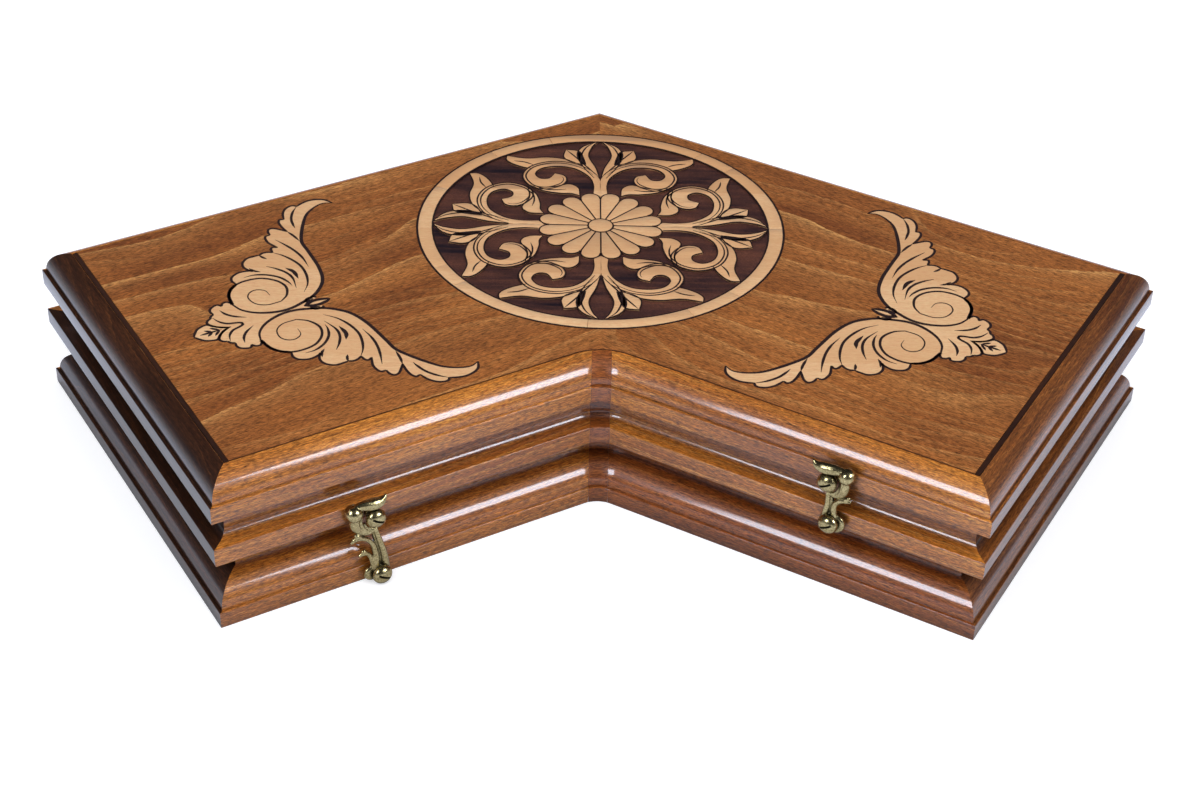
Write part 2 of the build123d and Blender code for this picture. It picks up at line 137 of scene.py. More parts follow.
def joinRings(bm, rings):  # walls from each ring of points to the next
    for one, other in zip(rings, rings[1:]):
        for k in range(len(one)):
            after = (k + 1) % len(one)
            corners = list(dict.fromkeys((one[k], one[after], other[after], other[k])))
            reach = max((one[k].co - other[k].co).length, (one[after].co - other[after].co).length)
            if len(corners) > 2 and reach >= pinch:
                bm.faces.new(corners)


def smoothLine(points, steps=6):  # passes through its points
    points = [Vector(p) for p in points]
    ends = [points[0] * 2 - points[1]] + points + [points[-1] * 2 - points[-2]]
    line = []
    for a, b, c, d in zip(ends, ends[1:], ends[2:], ends[3:]):
        for step in range(steps):
            t = step / steps
            line.append((b * 2 + (c - a) * t + (a * 2 - b * 5 + c * 4 - d) * t ** 2
                         + (b * 3 - a - c * 3 + d) * t ** 3) / 2)
    line.append(points[-1])
    return line


def withNormals(points):  # each point of a line with the direction to its left
    for before, here, after in zip(points[:1] + points[:-1], points, points[1:] + points[-1:]):
        tangent = (after - before).normalized()
        yield here, Vector((-tangent.y, tangent.x))


def offsetLine(points, distance):
    return [here + normal * distance for here, normal in withNormals(points)]


def arcPoints(radius, start, end, steps):
    turns = [start + (end - start) * k / steps for k in range(steps + 1)]
    return [Vector((cos(turn), sin(turn))) * radius for turn in turns]


def roundOff(corners, steps=3):  # closed outline of (inset, height, radius of that corner)
    outline = []
    for index, (x, y, radius) in enumerate(corners):
        here = Vector((x, y))
        if radius == 0:
            outline.append(here)
            continue
        before = (Vector(corners[index - 1][:2]) - here).normalized()
        after = (Vector(corners[(index + 1) % len(corners)][:2]) - here).normalized()
        half = before.angle(after) / 2
        centre = here + (before + after).normalized() * (radius / sin(half))
        first = here + before * (radius / tan(half)) - centre
        last = here + after * (radius / tan(half)) - centre
        for step in range(steps + 1):
            outline.append(centre + first.lerp(last, step / steps).normalized() * radius)
    return outline


# Sections of the rails: inset from the outer face, height above the tray's base, corner radius
wall, quirk, arris = rail["wall"], rail["quirk"], rail["arris"]
faceInset, backInset = rail["faceInset"], rail["backInset"]
rebate = backInset + rail["backLip"]
shoulder = quirk + rail["ovoloDepth"]
panelFoot = trayHeight - rail["panelThick"]


def ovoloArc(foot, steps=18):
    depth, height = rail["ovoloDepth"], rail["ovoloHeight"]
    radius = (depth ** 2 + height ** 2) / (2 * depth)
    turns = [asin(height / radius) * step / steps for step in range(1, steps)]
    return [(quirk + radius - radius * cos(turn), foot + radius * sin(turn), 0) for turn in turns]


def topSection():  # ovolo over a band on a set-back riser
    bandTop = trayHeight - rail["ovoloHeight"]
    riser = bandTop - rail["topBand"]
    return roundOff([
        (wall, panelFoot, 0), (wall, 0, arris), (faceInset, 0, arris), (faceInset, riser, 0),
        (0, riser, rail["softArris"]), (0, bandTop, arris), (quirk, bandTop, 0),
        *ovoloArc(bandTop), (shoulder, trayHeight, arris / 2), (shoulder, panelFoot, 0),
    ])


def middleSection():  # cove over a band with a rounded lip
    foot, panel = rail["backRiser"], rail["panelThick"]
    bandTop = foot + rail["middleBand"]
    lip, cove = rail["lipRadius"], rail["coveRadius"]
    turns = [pi / 2 * k / 10 for k in range(11)]
    lipArc = [(lip - lip * sin(turn), foot + lip - lip * cos(turn), 0) for turn in turns]
    coveArc = [(faceInset - cove + cove * sin(turn), bandTop + cove - cove * cos(turn), 0) for turn in turns]
    return roundOff([
        (rebate, panel, 0), (rebate, 0, 0), (backInset, 0, arris), (backInset, foot, 0), *lipArc,
        (0, bandTop, arris), *coveArc, (faceInset, trayHeight, arris), (wall, trayHeight, arris),
        (wall, panel, 0),
    ])


def bottomSection():  # band with the ovolo turned over on it, and a tall riser
    band = rail["bottomBand"]
    ledge = band + rail["ovoloHeight"]
    return roundOff([
        (rebate, panelFoot, 0), (wall, panelFoot, 0), (wall, 0, arris), (0, 0, arris), (0, band, arris),
        (quirk, band, 0), *ovoloArc(band), (shoulder, ledge, arris), (backInset, ledge, 0),
        (backInset, trayHeight, arris), (rebate, trayHeight, 0),
    ])


# Rails: a section carried through stations, each a function from inset to a place in the plan

def sweepRail(name, section, base, stations, side):
    bm = bmesh.new()
    rings = []
    for station in stations:
        points = [onSide(station(inset) + up * (base + height), side) for inset, height in section]
        rings.append([bm.verts.new(point) for point in points])
    joinRings(bm, rings)
    bm.faces.new(rings[0])
    bm.faces.new(rings[-1])
    return newObject(name, bm)


def onBend(inset, turn):  # on the bend round the notch, turned from the middle line
    centre = notch - Vector((0, rail["notchRadius"] / cos(fall), 0))
    return centre + Vector((sin(turn), cos(turn), 0)) * (rail["notchRadius"] + inset)


def blockTurn(inset, gap=0.0):  # where the straight side of the notch block meets the bend
    return asin((rail["blockHalf"] + gap) / (rail["notchRadius"] + inset))


def railBend(share):  # 0 where an inner rail begins to bend, 1 where it meets the notch block
    return lambda inset: onBend(inset, fall + (blockTurn(inset, rail["jointGap"]) - fall) * share)


def blockBend(share):  # 1 at the right side of the notch block, -1 at its left side
    return lambda inset: onBend(inset, blockTurn(inset) * share)


def apexBend(turn):  # round the apex; what lies deeper than its radius meets in a mitre
    def place(inset):
        if inset >= rail["apexRadius"]:
            return cornerAt(inset, "apex")
        out = Matrix.Rotation(turn, 3, "Z") @ across
        return cornerAt(rail["apexRadius"], "apex") + out * (rail["apexRadius"] - inset)
    return place


def mitre(which):
    return lambda inset: cornerAt(inset, which)


def railStations(kind):
    if kind == "inner":
        return [mitre("inner")] + [railBend(k / 4) for k in range(5)]
    if kind == "end":
        return [mitre("outer"), mitre("inner")]
    if kind == "notch":
        return [blockBend(k / 5) for k in range(5, -6, -1)]
    return [apexBend(fall * k / 6) for k in range(6, -1, -1)] + [mitre("outer")]


def bareFaces(piece, base):  # the flat faces where trays meet carry no lacquer
    piece.data.materials.append(woods["bare"])
    for face in piece.data.polygons:
        height = face.center.z - base
        if abs(face.normal.z) > 0.99 and min(abs(height), abs(height - trayHeight)) < rail["meeting"]:
            face.material_index = 1


# Flat shapes such as inlays, each a closed outline with eased upper edges

def flatShapes(name, outlines, top, bottom, ease=0.0):
    bm = bmesh.new()
    for outline in outlines:
        points = [Vector((p[0], p[1])) for p in outline]
        clean = [p for p, q in zip(points, points[-1:] + points[:-1]) if (p - q).length > shortEdge]
        if sum(a.x * b.y - b.x * a.y for a, b in zip(clean, clean[1:] + clean[:1])) < 0:
            clean.reverse()
        loops = [(clean, bottom)]
        if ease:
            inward = []
            for before, here, after in zip(clean[-1:] + clean[:-1], clean, clean[1:] + clean[:1]):
                tangent = (here - before).normalized() + (after - here).normalized()
                normal = Vector((-tangent.y, tangent.x))
                inward.append(normal.normalized() if normal.length > 0.2 else Vector((0, 0)))
            for share in (0.0, 0.35, 1.0):
                eased = [p + n * ease * share for p, n in zip(clean, inward)]
                loops.append((eased, top - ease * (1 - share) ** 2))
        else:
            loops.append((clean, top))
        rings = [[bm.verts.new((p.x, p.y, z)) for p in ring] for ring, z in loops]
        joinRings(bm, rings)
        for ring in (rings[0], rings[-1]):
            for corners in tessellate_polygon([[v.co for v in ring]]):
                bm.faces.new([ring[index] for index in corners])
    return newObject(name, bm, 50)


def inkLine(points, width, startShare=1.0, endShare=1.0):  # both sides of a line that may taper
    line = [Vector((p[0], p[1])) for p in points]
    growth = 3  # shares of the full width that a tapered end gains over the line's length
    pairs = []
    for index, (here, normal) in enumerate(withNormals(line)):
        t = index / (len(line) - 1)
        half = normal * width / 2 * min(1.0, startShare + growth * t, endShare + growth * (1 - t))
        pairs.append((here + half, here - half))
    return pairs


def inkStrips(name, lines, top, bottom):
    bm = bmesh.new()
    for pairs in lines:
        rings = []
        for one, other in pairs:
            corners = ((one, bottom), (other, bottom), (other, top), (one, top))
            rings.append([bm.verts.new((p.x, p.y, z)) for p, z in corners])
        joinRings(bm, rings)
        bm.faces.new(rings[0])
        bm.faces.new(rings[-1])
    return newObject(name, bm)


print("helpers ready")

# Nodes: their inputs come as a dictionary, each a value or an output of another node

def feed(tree, node, inputs):
    for key, value in inputs.items():
        if isinstance(value, bpy.types.NodeSocket):
            tree.links.new(value, node.inputs[key])
        else:
            node.inputs[key].default_value = value
    return node.outputs


def addNode(tree, kind, inputs=None, **settings):
    node = tree.nodes.new("ShaderNode" + kind)
    for key, value in settings.items():
        setattr(node, key, value)
    return feed(tree, node, inputs or {})


def calc(tree, operation, first, second=0.0):
    return addNode(tree, "Math", {0: first, 1: second}, operation=operation)[0]


def times(tree, first, second):
    return calc(tree, "MULTIPLY", first, second)


def plus(tree, first, second):
    return calc(tree, "ADD", first, second)


def mixColor(tree, share, first, second, blendType="MIX"):
    inputs = {0: share, 6: first, 7: second}
    return addNode(tree, "Mix", inputs, data_type="RGBA", blend_type=blendType)[2]


def noiseAt(tree, vector, scale, detail=3.0, roughness=0.5):
    place = addNode(tree, "Mapping", {"Vector": vector, "Scale": scale})[0]
    return addNode(tree, "TexNoise", {"Vector": place, "Scale": 1.0, "Detail": detail, "Roughness": roughness})[0]


def spread(tree, value, low, high):  # 0 at low, 1 at high, clamped
    return addNode(tree, "MapRange", {0: value, 1: low, 2: high})[0]


def newGroup(name, inputs, outputs):
    group = bpy.data.node_groups.new(name, "ShaderNodeTree")
    for label, kind, value in inputs:
        socket = group.interface.new_socket(label, in_out="INPUT", socket_type="NodeSocket" + kind)
        if value is not None:
            socket.default_value = value
    for label, kind in outputs:
        group.interface.new_socket(label, in_out="OUTPUT", socket_type="NodeSocket" + kind)
    return group, group.nodes.new("NodeGroupInput").outputs, group.nodes.new("NodeGroupOutput")


def useGroup(tree, group, inputs):
    return addNode(tree, "Group", inputs, node_tree=group)


def rgb(red, green, blue):  # 0 to 255, as read from a screen
    shares = [c / 255 for c in (red, green, blue)]
    return tuple(c / 12.92 if c <= 10 / 255 else ((c + 0.055) / 1.055) ** 2.4 for c in shares) + (1,)


# Grain coordinates: millimetres, X along the grain
grainPlace, inside, result = newGroup(
    "grainPlace", [("Turn", "Float", 0.0), ("Offset", "Vector", None), ("Scale", "Float", 1000.0)],
    [("Vector", "Vector")])
tree = grainPlace
place = addNode(tree, "TexCoord")["Object"]
place = addNode(tree, "VectorRotate", {"Vector": place, "Angle": inside["Turn"]}, rotation_type="Z_AXIS")[0]
place = addNode(tree, "VectorMath", {0: place, "Scale": inside["Scale"]}, operation="SCALE")[0]
place = addNode(tree, "VectorMath", {0: place, 1: inside["Offset"]}, operation="ADD")[0]
feed(tree, result, {"Vector": place})

# Figure of a sawn board: thin pale growth lines with one soft side, fibres, short flecks, slow
# mottling. Noise scales are per millimetre, along the grain and across it.
figureScales = {
    "sway": (0.0042, 0.011, 0.011), "jitter": (0.03, 0.12, 0.12), "presence": (0.006, 0.02, 0.02),
    "fibre": (0.016, 0.75, 0.75), "flecks": (0.3, 1.5, 1.5), "mottle": (0.006, 0.024, 0.024),
    "speckle": (0.28, 1.9, 1.9),
}
woodFigure, inside, result = newGroup(
    "woodFigure",
    [("Vector", "Vector", None), ("Spacing", "Float", 24.0), ("Waviness", "Float", 30.0)],
    [("Growth", "Float"), ("Fibre", "Float"), ("Flecks", "Float"), ("Mottle", "Float"), ("Speckle", "Float")])
tree = woodFigure


def figureNoise(name, detail, roughness=0.5):
    return noiseAt(woodFigure, inside["Vector"], figureScales[name], detail, roughness)


parts = addNode(tree, "SeparateXYZ", {0: inside["Vector"]})
level = plus(tree, parts["Y"], times(tree, parts["Z"], 0.8))
level = plus(tree, level, times(tree, figureNoise("sway", 1.5), inside["Waviness"]))
level = plus(tree, level, times(tree, figureNoise("jitter", 4.0, 0.65), 5.0))
lines = []
for share, weight in ((1.0, 1.0), (0.37, 0.55)):  # wide rings and, where they fade, close ones
    tooth = calc(tree, "FRACT", calc(tree, "DIVIDE", level, times(tree, inside["Spacing"], share)))
    soft = times(tree, calc(tree, "POWER", tooth, 2.5), 0.45)
    crisp = times(tree, calc(tree, "POWER", tooth, 16.0), 0.75)
    lines.append(times(tree, plus(tree, soft, crisp), weight))
presence = spread(tree, figureNoise("presence", 2.0), 0.36, 0.6)
absence = calc(tree, "SUBTRACT", 1.0, presence)
feed(tree, result, {
    "Growth": plus(tree, times(tree, lines[0], presence), times(tree, lines[1], absence)),
    "Fibre": figureNoise("fibre", 7.0, 0.7), "Speckle": figureNoise("speckle", 3.0, 0.7),
    "Flecks": spread(tree, figureNoise("flecks", 3.0, 0.65), 0.52, 0.68),
    "Mottle": figureNoise("mottle", 3.0, 0.55),
})

# Hollows and creases found by ambient occlusion, used for painted shade in the wood and for patina with painted
# shade in the brass; and a fine grit
hollows, inside, result = newGroup(
    "hollows", [("Reach", "Float", 0.0015), ("Vector", "Vector", None)], [("Hollow", "Float"), ("Grit", "Float")])
cover = addNode(hollows, "AmbientOcclusion", {"Distance": inside["Reach"]}, samples=6)["AO"]
grit = noiseAt(hollows, inside["Vector"], (1.1, 1.1, 1.1), 4.0, 0.6)
feed(hollows, result, {"Hollow": spread(hollows, cover, 0.86, 0.5), "Grit": grit})


def newMaterial(name, surface):
    material = bpy.data.materials.new(name)
    material.use_nodes = True
    shader = material.node_tree.nodes["Principled BSDF"]
    feed(material.node_tree, shader, surface)
    return material, material.node_tree, shader


def bumpFrom(tree, height, distance, strength):
    return addNode(tree, "Bump", {"Height": height, "Distance": distance, "Strength": strength})[0]


lacquer = {
    "Roughness": 0.38, "Coat Weight": 1.0, "Coat Roughness": 0.1, "Coat IOR": 1.5, "Specular IOR Level": 0.3,
}
plainLook = {
    "surface": {}, "offset": (0, 0, 0), "scale": 1000.0, "speckle": 0.3, "pieces": 0.0, "relief": 0.00002,
}


def woodMaterial(name, turn, look):
    look = {**plainLook, **look}
    material, tree, shader = newMaterial(name, {**lacquer, **look["surface"]})
    grain = useGroup(tree, grainPlace, {"Turn": turn, "Offset": look["offset"], "Scale": look["scale"]})[0]
    figure = {"Vector": grain, "Spacing": look["spacing"], "Waviness": look["waviness"]}
    figure = useGroup(tree, woodFigure, figure)
    body = mixColor(tree, spread(tree, figure["Mottle"], 0.32, 0.68), look["dark"], look["mid"])
    growth, fibre, flecks = figure["Growth"], spread(tree, figure["Fibre"], 0.34, 0.66), figure["Flecks"]
    for mask, amount, tone in ((growth, "growth", "light"), (fibre, "fibre", "vein"), (flecks, "flecks", "pore")):
        body = mixColor(tree, times(tree, mask, look[amount]), body, look[tone])
    speckle = addNode(tree, "ValToRGB", {0: spread(tree, figure["Speckle"], 0.3, 0.7)})[0]
    body = mixColor(tree, look["speckle"], body, speckle, "OVERLAY")
    island = addNode(tree, "NewGeometry")["Random Per Island"]
    body = mixColor(tree, times(tree, island, look["pieces"]), body, look["vein"])
    if "slip" in look:  # veneer laid in parallel slips of slightly different tone
        row = calc(tree, "DIVIDE", addNode(tree, "SeparateXYZ", {0: grain})["Y"], look["slip"])
        tone = addNode(tree, "TexWhiteNoise", {"W": calc(tree, "FLOOR", row)}, noise_dimensions="1D")["Value"]
        body = mixColor(tree, times(tree, tone, 0.7), body, look["vein"])
    # Painted shade: where ambient occlusion finds a crease within the look's crease reach, the colour darkens
    # toward its shade colour by up to its depth, and the coat thins
    if "crease" in look:
        hollow = useGroup(tree, hollows, {"Reach": look["crease"], "Vector": grain})["Hollow"]
        crease = times(tree, calc(tree, "POWER", hollow, 2.0), look["depth"])
        body = mixColor(tree, crease, body, look["shade"])
        feed(tree, shader, {"Coat Weight": calc(tree, "SUBTRACT", 1.0, crease)})
    feed(tree, shader, {"Base Color": body, "Normal": bumpFrom(tree, figure["Fibre"], look["relief"], 0.35)})
    return material


lidLook = {
    "dark": rgb(130, 72, 32), "mid": rgb(184, 114, 54), "light": rgb(226, 166, 98), "vein": rgb(112, 60, 30),
    "pore": rgb(82, 42, 22), "spacing": 30.0, "waviness": 130.0, "growth": 0.8, "fibre": 0.45, "flecks": 0.6,
    "speckle": 0.85,
}
# In the looks below, crease, depth and shade give the painted shade in creases: its reach, its strength and its
# colour
mouldingLook = {
    "dark": rgb(166, 92, 28), "mid": rgb(222, 140, 50), "light": rgb(242, 176, 88), "vein": rgb(112, 54, 22),
    "pore": rgb(74, 36, 18), "spacing": 6.0, "waviness": 22.0, "growth": 0.7, "fibre": 0.6, "flecks": 0.6,
    "speckle": 0.85, "crease": 0.014, "depth": 0.45, "shade": rgb(46, 24, 11),
}
endGrain = {
    "spacing": 8.0, "waviness": 90.0, "growth": 0.8, "fibre": 0.8, "flecks": 0.6, "speckle": 0.6,
    "crease": 0.014, "depth": 0.7, "shade": rgb(20, 11, 7),
}
# The end wood comes in a lit copy for the right ends and a darker, shaded copy for the left ends: painted light
# and shade on one wood
endLooks = {
    "right": {
        **endGrain, "dark": rgb(92, 46, 22), "mid": rgb(176, 104, 44), "light": rgb(206, 134, 66),
        "vein": rgb(70, 36, 18), "pore": rgb(48, 26, 16),
    },
    "left": {
        **endGrain, "dark": rgb(42, 20, 10), "mid": rgb(78, 42, 20), "light": rgb(112, 66, 32),
        "vein": rgb(30, 16, 10), "pore": rgb(22, 12, 8), "surface": {"Coat IOR": 1.36},
    },
}
stripLook = {
    "dark": rgb(44, 24, 16), "mid": rgb(70, 38, 22), "light": rgb(96, 56, 32), "vein": rgb(32, 18, 14),
    "pore": rgb(22, 14, 12), "spacing": 5.0, "waviness": 10.0, "growth": 0.4, "fibre": 0.6, "flecks": 0.5,
}
mapleLook = {
    "dark": rgb(232, 186, 138), "mid": rgb(244, 202, 154), "light": rgb(250, 216, 174), "vein": rgb(212, 156, 106),
    "pore": rgb(190, 138, 96), "spacing": 9.0, "waviness": 26.0, "growth": 0.4, "fibre": 0.35, "flecks": 0.35,
    "speckle": 0.22, "pieces": 0.4, "slip": 46.0,
}
darkLook = {
    "dark": rgb(40, 24, 22), "mid": rgb(66, 38, 32), "light": rgb(96, 58, 44), "vein": rgb(30, 20, 22),
    "pore": rgb(20, 14, 15), "spacing": 12.0, "waviness": 30.0, "growth": 0.35, "fibre": 0.7, "flecks": 0.5,
}
groundLook = {
    "dark": rgb(22, 16, 27), "mid": rgb(122, 72, 52), "light": rgb(150, 94, 66), "vein": rgb(30, 22, 34),
    "pore": rgb(18, 14, 22), "spacing": 16.0, "waviness": 30.0, "growth": 0.5, "fibre": 0.7, "flecks": 0.9,
    "speckle": 0.9, "relief": 0.0001, "scale": 3000.0,
    "surface": {"Roughness": 0.55, "Coat Weight": 0.5, "Coat Roughness": 0.35},
}
jointLook = {**stripLook, "dark": rgb(84, 46, 24), "mid": rgb(112, 64, 34), "light": rgb(136, 84, 48)}
# A darker copy of the moulding wood for the bottom tray's right inner rail: painted shade near the floor
shadedLowLook = {**mouldingLook, "dark": rgb(120, 60, 22), "mid": rgb(178, 98, 36), "light": rgb(204, 130, 60)}
# The notch block has its own grain, and is painted darker than the mouldings as shade in the notch between the
# arms
blockLook = {
    **mouldingLook, "spacing": 5.0, "offset": (0, 40, 0), "dark": rgb(120, 62, 26), "mid": rgb(172, 94, 34),
    "light": rgb(200, 126, 56),
}
bareLook = {**lidLook, "surface": {"Roughness": 0.6, "Coat Weight": 0.0, "Specular IOR Level": 0.2}}
railDepth = {"right": 0.75, "left": 0.3}  # how dark the painted shade in the mouldings' creases is, by arm; the right arm is painted darker

woods = {}
for side, turn in (("right", fall), ("left", -fall)):
    crosswise = turn - pi / 2 if side == "right" else turn + pi / 2
    shift = {"offset": (0, 300 if side == "left" else 0, 0)}  # so that the arms show different wood
    for key, name, run, look in (
        ("lid", "lidWalnut_", turn, {**lidLook, **shift}),
        ("rail", "railWalnut_", turn, {**mouldingLook, **shift, "depth": railDepth[side]}),
        ("outer", "rearRailWalnut_", turn, {**mouldingLook, "offset": (40, 90, 0)}),
        ("joint", "lidJointWalnut_", turn, {**jointLook, **shift}),
        ("end", "endWalnut_", crosswise, {**endLooks[side], **shift}),
        ("strip", "endStripWalnut_", crosswise, {**stripLook, **shift}),
        ("inside", "insideWalnut_", turn, {**lidLook, "offset": (70, 170, 20)}),
    ):
        woods[key, side] = woodMaterial(name + side, run, look)
woods["lowRail", "right"] = woodMaterial("lowRailWalnut", fall, shadedLowLook)
woods["block"] = woodMaterial("notchWalnut", 0.0, blockLook)
woods["bare"] = woodMaterial("bareWalnut", 0.0, bareLook)
woods["maple"] = woodMaterial("mapleInlay", 0.0, mapleLook)
woods["maplePoints"] = woodMaterial("maplePoints", pi / 2, mapleLook)
woods["darkPoints"] = woodMaterial("darkPoints", pi / 2, darkLook)
woods["ground"] = woodMaterial("medallionGround", 0.0, groundLook)

# Burnt line round every inlaid piece
ink, tree, shader = newMaterial("burntLine", {**lacquer, "Roughness": 0.6, "Coat Roughness": 0.15})
burn = noiseAt(tree, useGroup(tree, grainPlace, {"Turn": 0.0})[0], (0.7, 0.7, 0.7), 3.0, 0.6)
feed(tree, shader, {"Base Color": mixColor(tree, burn, rgb(30, 20, 22), rgb(54, 34, 32))})

# Antique brass: bright where it is touched, and darker toward brown-black in the hollows, partly real patina and
# partly painted shade
castLook = {
    "high": rgb(200, 184, 134), "body": rgb(138, 122, 82), "hollow": rgb(16, 13, 10), "grit": 0.4, "reach": 0.0036,
    "patinaAndShade": 0.92, "rough": 0.16, "gritRough": 0.16, "hollowRough": 0.3, "relief": 0.00006,
}
hingeLook = {**castLook, "high": rgb(170, 150, 98), "body": rgb(128, 108, 66), "grit": 0.1, "reach": 0.0012}
screwLook = {**castLook, "high": rgb(224, 206, 150), "body": rgb(186, 164, 108), "reach": 0.001}


def brassMaterial(name, look):
    material, tree, shader = newMaterial(name, {"Metallic": 1.0})
    place = useGroup(tree, grainPlace, {"Turn": 0.0})[0]
    hollowAndGrit = useGroup(tree, hollows, {"Reach": look["reach"], "Vector": place})
    color = mixColor(tree, spread(tree, hollowAndGrit["Grit"], 0.35, 0.65), look["body"], look["high"])
    # Hollows darkened by ambient occlusion: patina and painted shade
    color = mixColor(tree, times(tree, hollowAndGrit["Hollow"], look["patinaAndShade"]), color, look["hollow"])
    rough = times(tree, hollowAndGrit["Grit"], look["gritRough"])
    rough = plus(tree, rough, times(tree, hollowAndGrit["Hollow"], look["hollowRough"]))
    feed(tree, shader, {
        "Base Color": color, "Roughness": plus(tree, rough, look["rough"]),
        "Normal": bumpFrom(tree, hollowAndGrit["Grit"], look["relief"], look["grit"]),
    })
    return material


castBrass = brassMaterial("castBrass", castLook)
hingeBrass = brassMaterial("hingeBrass", hingeLook)
screwBrass = brassMaterial("screwBrass", screwLook)
print("materials ready")

# Frame of each tray: rails on both arms, with a short bent block at the notch
sections = {"top": topSection(), "middle": middleSection(), "bottom": bottomSection()}
for tray, section in sections.items():
    body = tray + "_tray"
    base = trayBase[tray]
    for side in ("right", "left"):
        for kind, wood in (("inner", "rail"), ("outer", "outer"), ("end", "end")):
            piece = sweepRail(f"{tray}{kind.title()}Rail_{side}", section, base, railStations(kind), side)
            wood = "lowRail" if (wood, tray, side) == ("rail", "bottom", "right") else wood
            slotName = "end_grain_walnut" if kind == "end" else "moulding_walnut"
            dress(piece, body, woods[wood, side], slotName, f"{tray}_{kind}_rail_{side}")
            bareFaces(piece, base)
    piece = sweepRail(tray + "NotchBlock", section, base, railStations("notch"), "right")
    dress(piece, body, woods["block"], "moulding_walnut")
    bareFaces(piece, base)
print("rails done")

# Lid in two halves that meet on the middle line: a face layer cut out for the medallion, a full
# core under it, a dark strip at each end and a thin joint line along the inner rails
lid = inMetres({
    "edgeGap": 0.32, "below": 0.08, "clear": 0.05, "ringGap": 0.55, "seam": 0.02, "endStrip": 2.8,
    "stripGap": 0.25, "layer": 2.1, "line": 0.65, "lineDeep": 0.5, "lineRise": 0.01, "stripDrop": 0.02,
})
lidInset = shoulder + lid["edgeGap"]
lidFace, layerFoot = lidTop - lid["below"], lidTop - lid["layer"]
lidFoot = lidTop - rail["panelThick"] + lid["clear"]
lidRun = innerSide - lidInset


def lidOutline(side, pierced):
    run = lidRun - (lid["endStrip"] if pierced else 0)
    points = [onBend(lidInset, fall * k / 8) for k in range(9)]
    points += [spot(run, lidInset), spot(run, armWidth - lidInset), cornerAt(lidInset, "apex")]
    if pierced:
        points += [medallionCentre + p.to_3d() for p in arcPoints(medallionRadius, pi / 2, -pi / 2, 64)]
    return [onSide(Vector((max(p.x, lid["seam"] / 2), p.y, 0)), side) for p in points]


for side in ("right", "left"):
    piece = flatShapes("lid_" + side, [lidOutline(side, True)], lidFace, layerFoot)
    dress(piece, "top_tray", woods["lid", side], "panel_walnut", "top_panel_" + side)
    piece = flatShapes("lidCore_" + side, [lidOutline(side, False)], layerFoot - lid["stripDrop"], lidFoot)
    dress(piece, "top_tray", woods["inside", side], "panel_walnut")
    stripRun, rear = lidRun - lid["endStrip"] + lid["stripGap"], armWidth - lidInset
    strip = [(lidRun, lidInset), (lidRun, rear), (stripRun, rear), (stripRun, lidInset)]
    strip = [onSide(spot(run, depth), side) for run, depth in strip]
    piece = flatShapes("lidEndStrip_" + side, [strip], lidFace - lid["stripDrop"], layerFoot)
    dress(piece, "top_tray", woods["strip", side], "end_grain_walnut")
    inset = lidInset + lid["line"] / 2
    edge = [onBend(inset, fall * k / 6) for k in range(7)] + [spot(lidRun - lid["endStrip"], inset)]
    edge = inkLine([onSide(p, side) for p in edge], lid["line"])
    piece = inkStrips("lidJoint_" + side, [edge], lidFace + lid["lineRise"], lidFace - lid["lineDeep"])
    dress(piece, "top_tray", woods["joint", side], "panel_walnut")
print("lid done")

# Medallion: pale pieces on a dark sunk ground
medallion = inMetres({
    "ringWidth": 9.3, "sink": 1.0, "depth": 2.0, "ease": 0.22, "seam": 0.36, "reach": 36.8, "button": 7.5,
    "line": 1.05, "fine": 0.85, "below": 0.03, "ringJoint": 0.15, "groundGap": 0.1, "tuck": 0.2, "follow": 2.0,
    "lineRise": 0.015, "lineDeep": 0.3, "spokeFrom": 20, "spokeTo": 31.5,
})
petalCount, ringParts = 16, 11
# An eighth of it, in millimetres out along an axis and sideways from it, is repeated on both
# sides of the four axes. A leaf has two edges from the scroll to its tip.
scrollOuter = [
    (33.2, 0), (51, 0), (63, 5.5), (71.5, 17), (73, 30), (67, 42), (55, 47), (43, 41.5), (40.3, 32),
    (45, 23.3), (51, 20.2), (56.5, 21.8), (59, 27.5),
]
scrollInner = [
    (36.4, 4.2), (46, 4), (56, 7), (65, 15.5), (67.4, 26), (65, 35), (58.5, 39.2), (53, 36.5), (53, 31),
    (59, 27.5),
]
hookedLeaf = [
    [(70.5, 13), (76.4, 22), (78.2, 33), (76.4, 45), (79, 57)],
    [(64, 41.5), (66, 47.5), (70, 54), (74.4, 57.4), (79, 57)],
]
bluntLeaf = [
    [(46, 44), (38.6, 34.6), (35.8, 24), (35.6, 17.5), (33.6, 12.4)],
    [(43.5, 42), (42.4, 30), (46.6, 19), (42, 13), (33.6, 12.4)],
]
tulipPetal = [
    [(54, 0.5), (66, 2.5), (80, 6.8), (91, 5), (98.2, 1.4)],
    [(54, 3.6), (68, 10.5), (82, 14), (92, 10.5), (98.2, 1.4)],
]
smallLeaf = [
    [(70, 10), (73.6, 18.6), (79.6, 22.4), (88, 21)],
    [(70, 8.6), (79, 10.4), (86.4, 13.2), (88, 21)],
]
carvedLines = [
    [(56, 1.2), (64, 5.9), (72.4, 10.6), (82, 11.2), (91, 8.4), (97, 3.4)],
    [(71, 10), (79, 15), (87.4, 20.6)],
    [(68.6, 40.6), (71.8, 46.4), (73, 52.6)],
    [(45.6, 42), (40.4, 34), (39.4, 27), (40.6, 20.4)],
]


def drawn(points, steps=6):  # a smooth line through points in millimetres
    return smoothLine([Vector(p) * mm for p in points], steps)


def inMedallion(points):
    return [medallionCentre.xy + p for p in points]


def inEighth(points, quarter, side):
    turn = Matrix.Rotation(quarter * pi / 2, 2)
    return inMedallion([turn @ Vector((p.x, p.y * side)) for p in points])


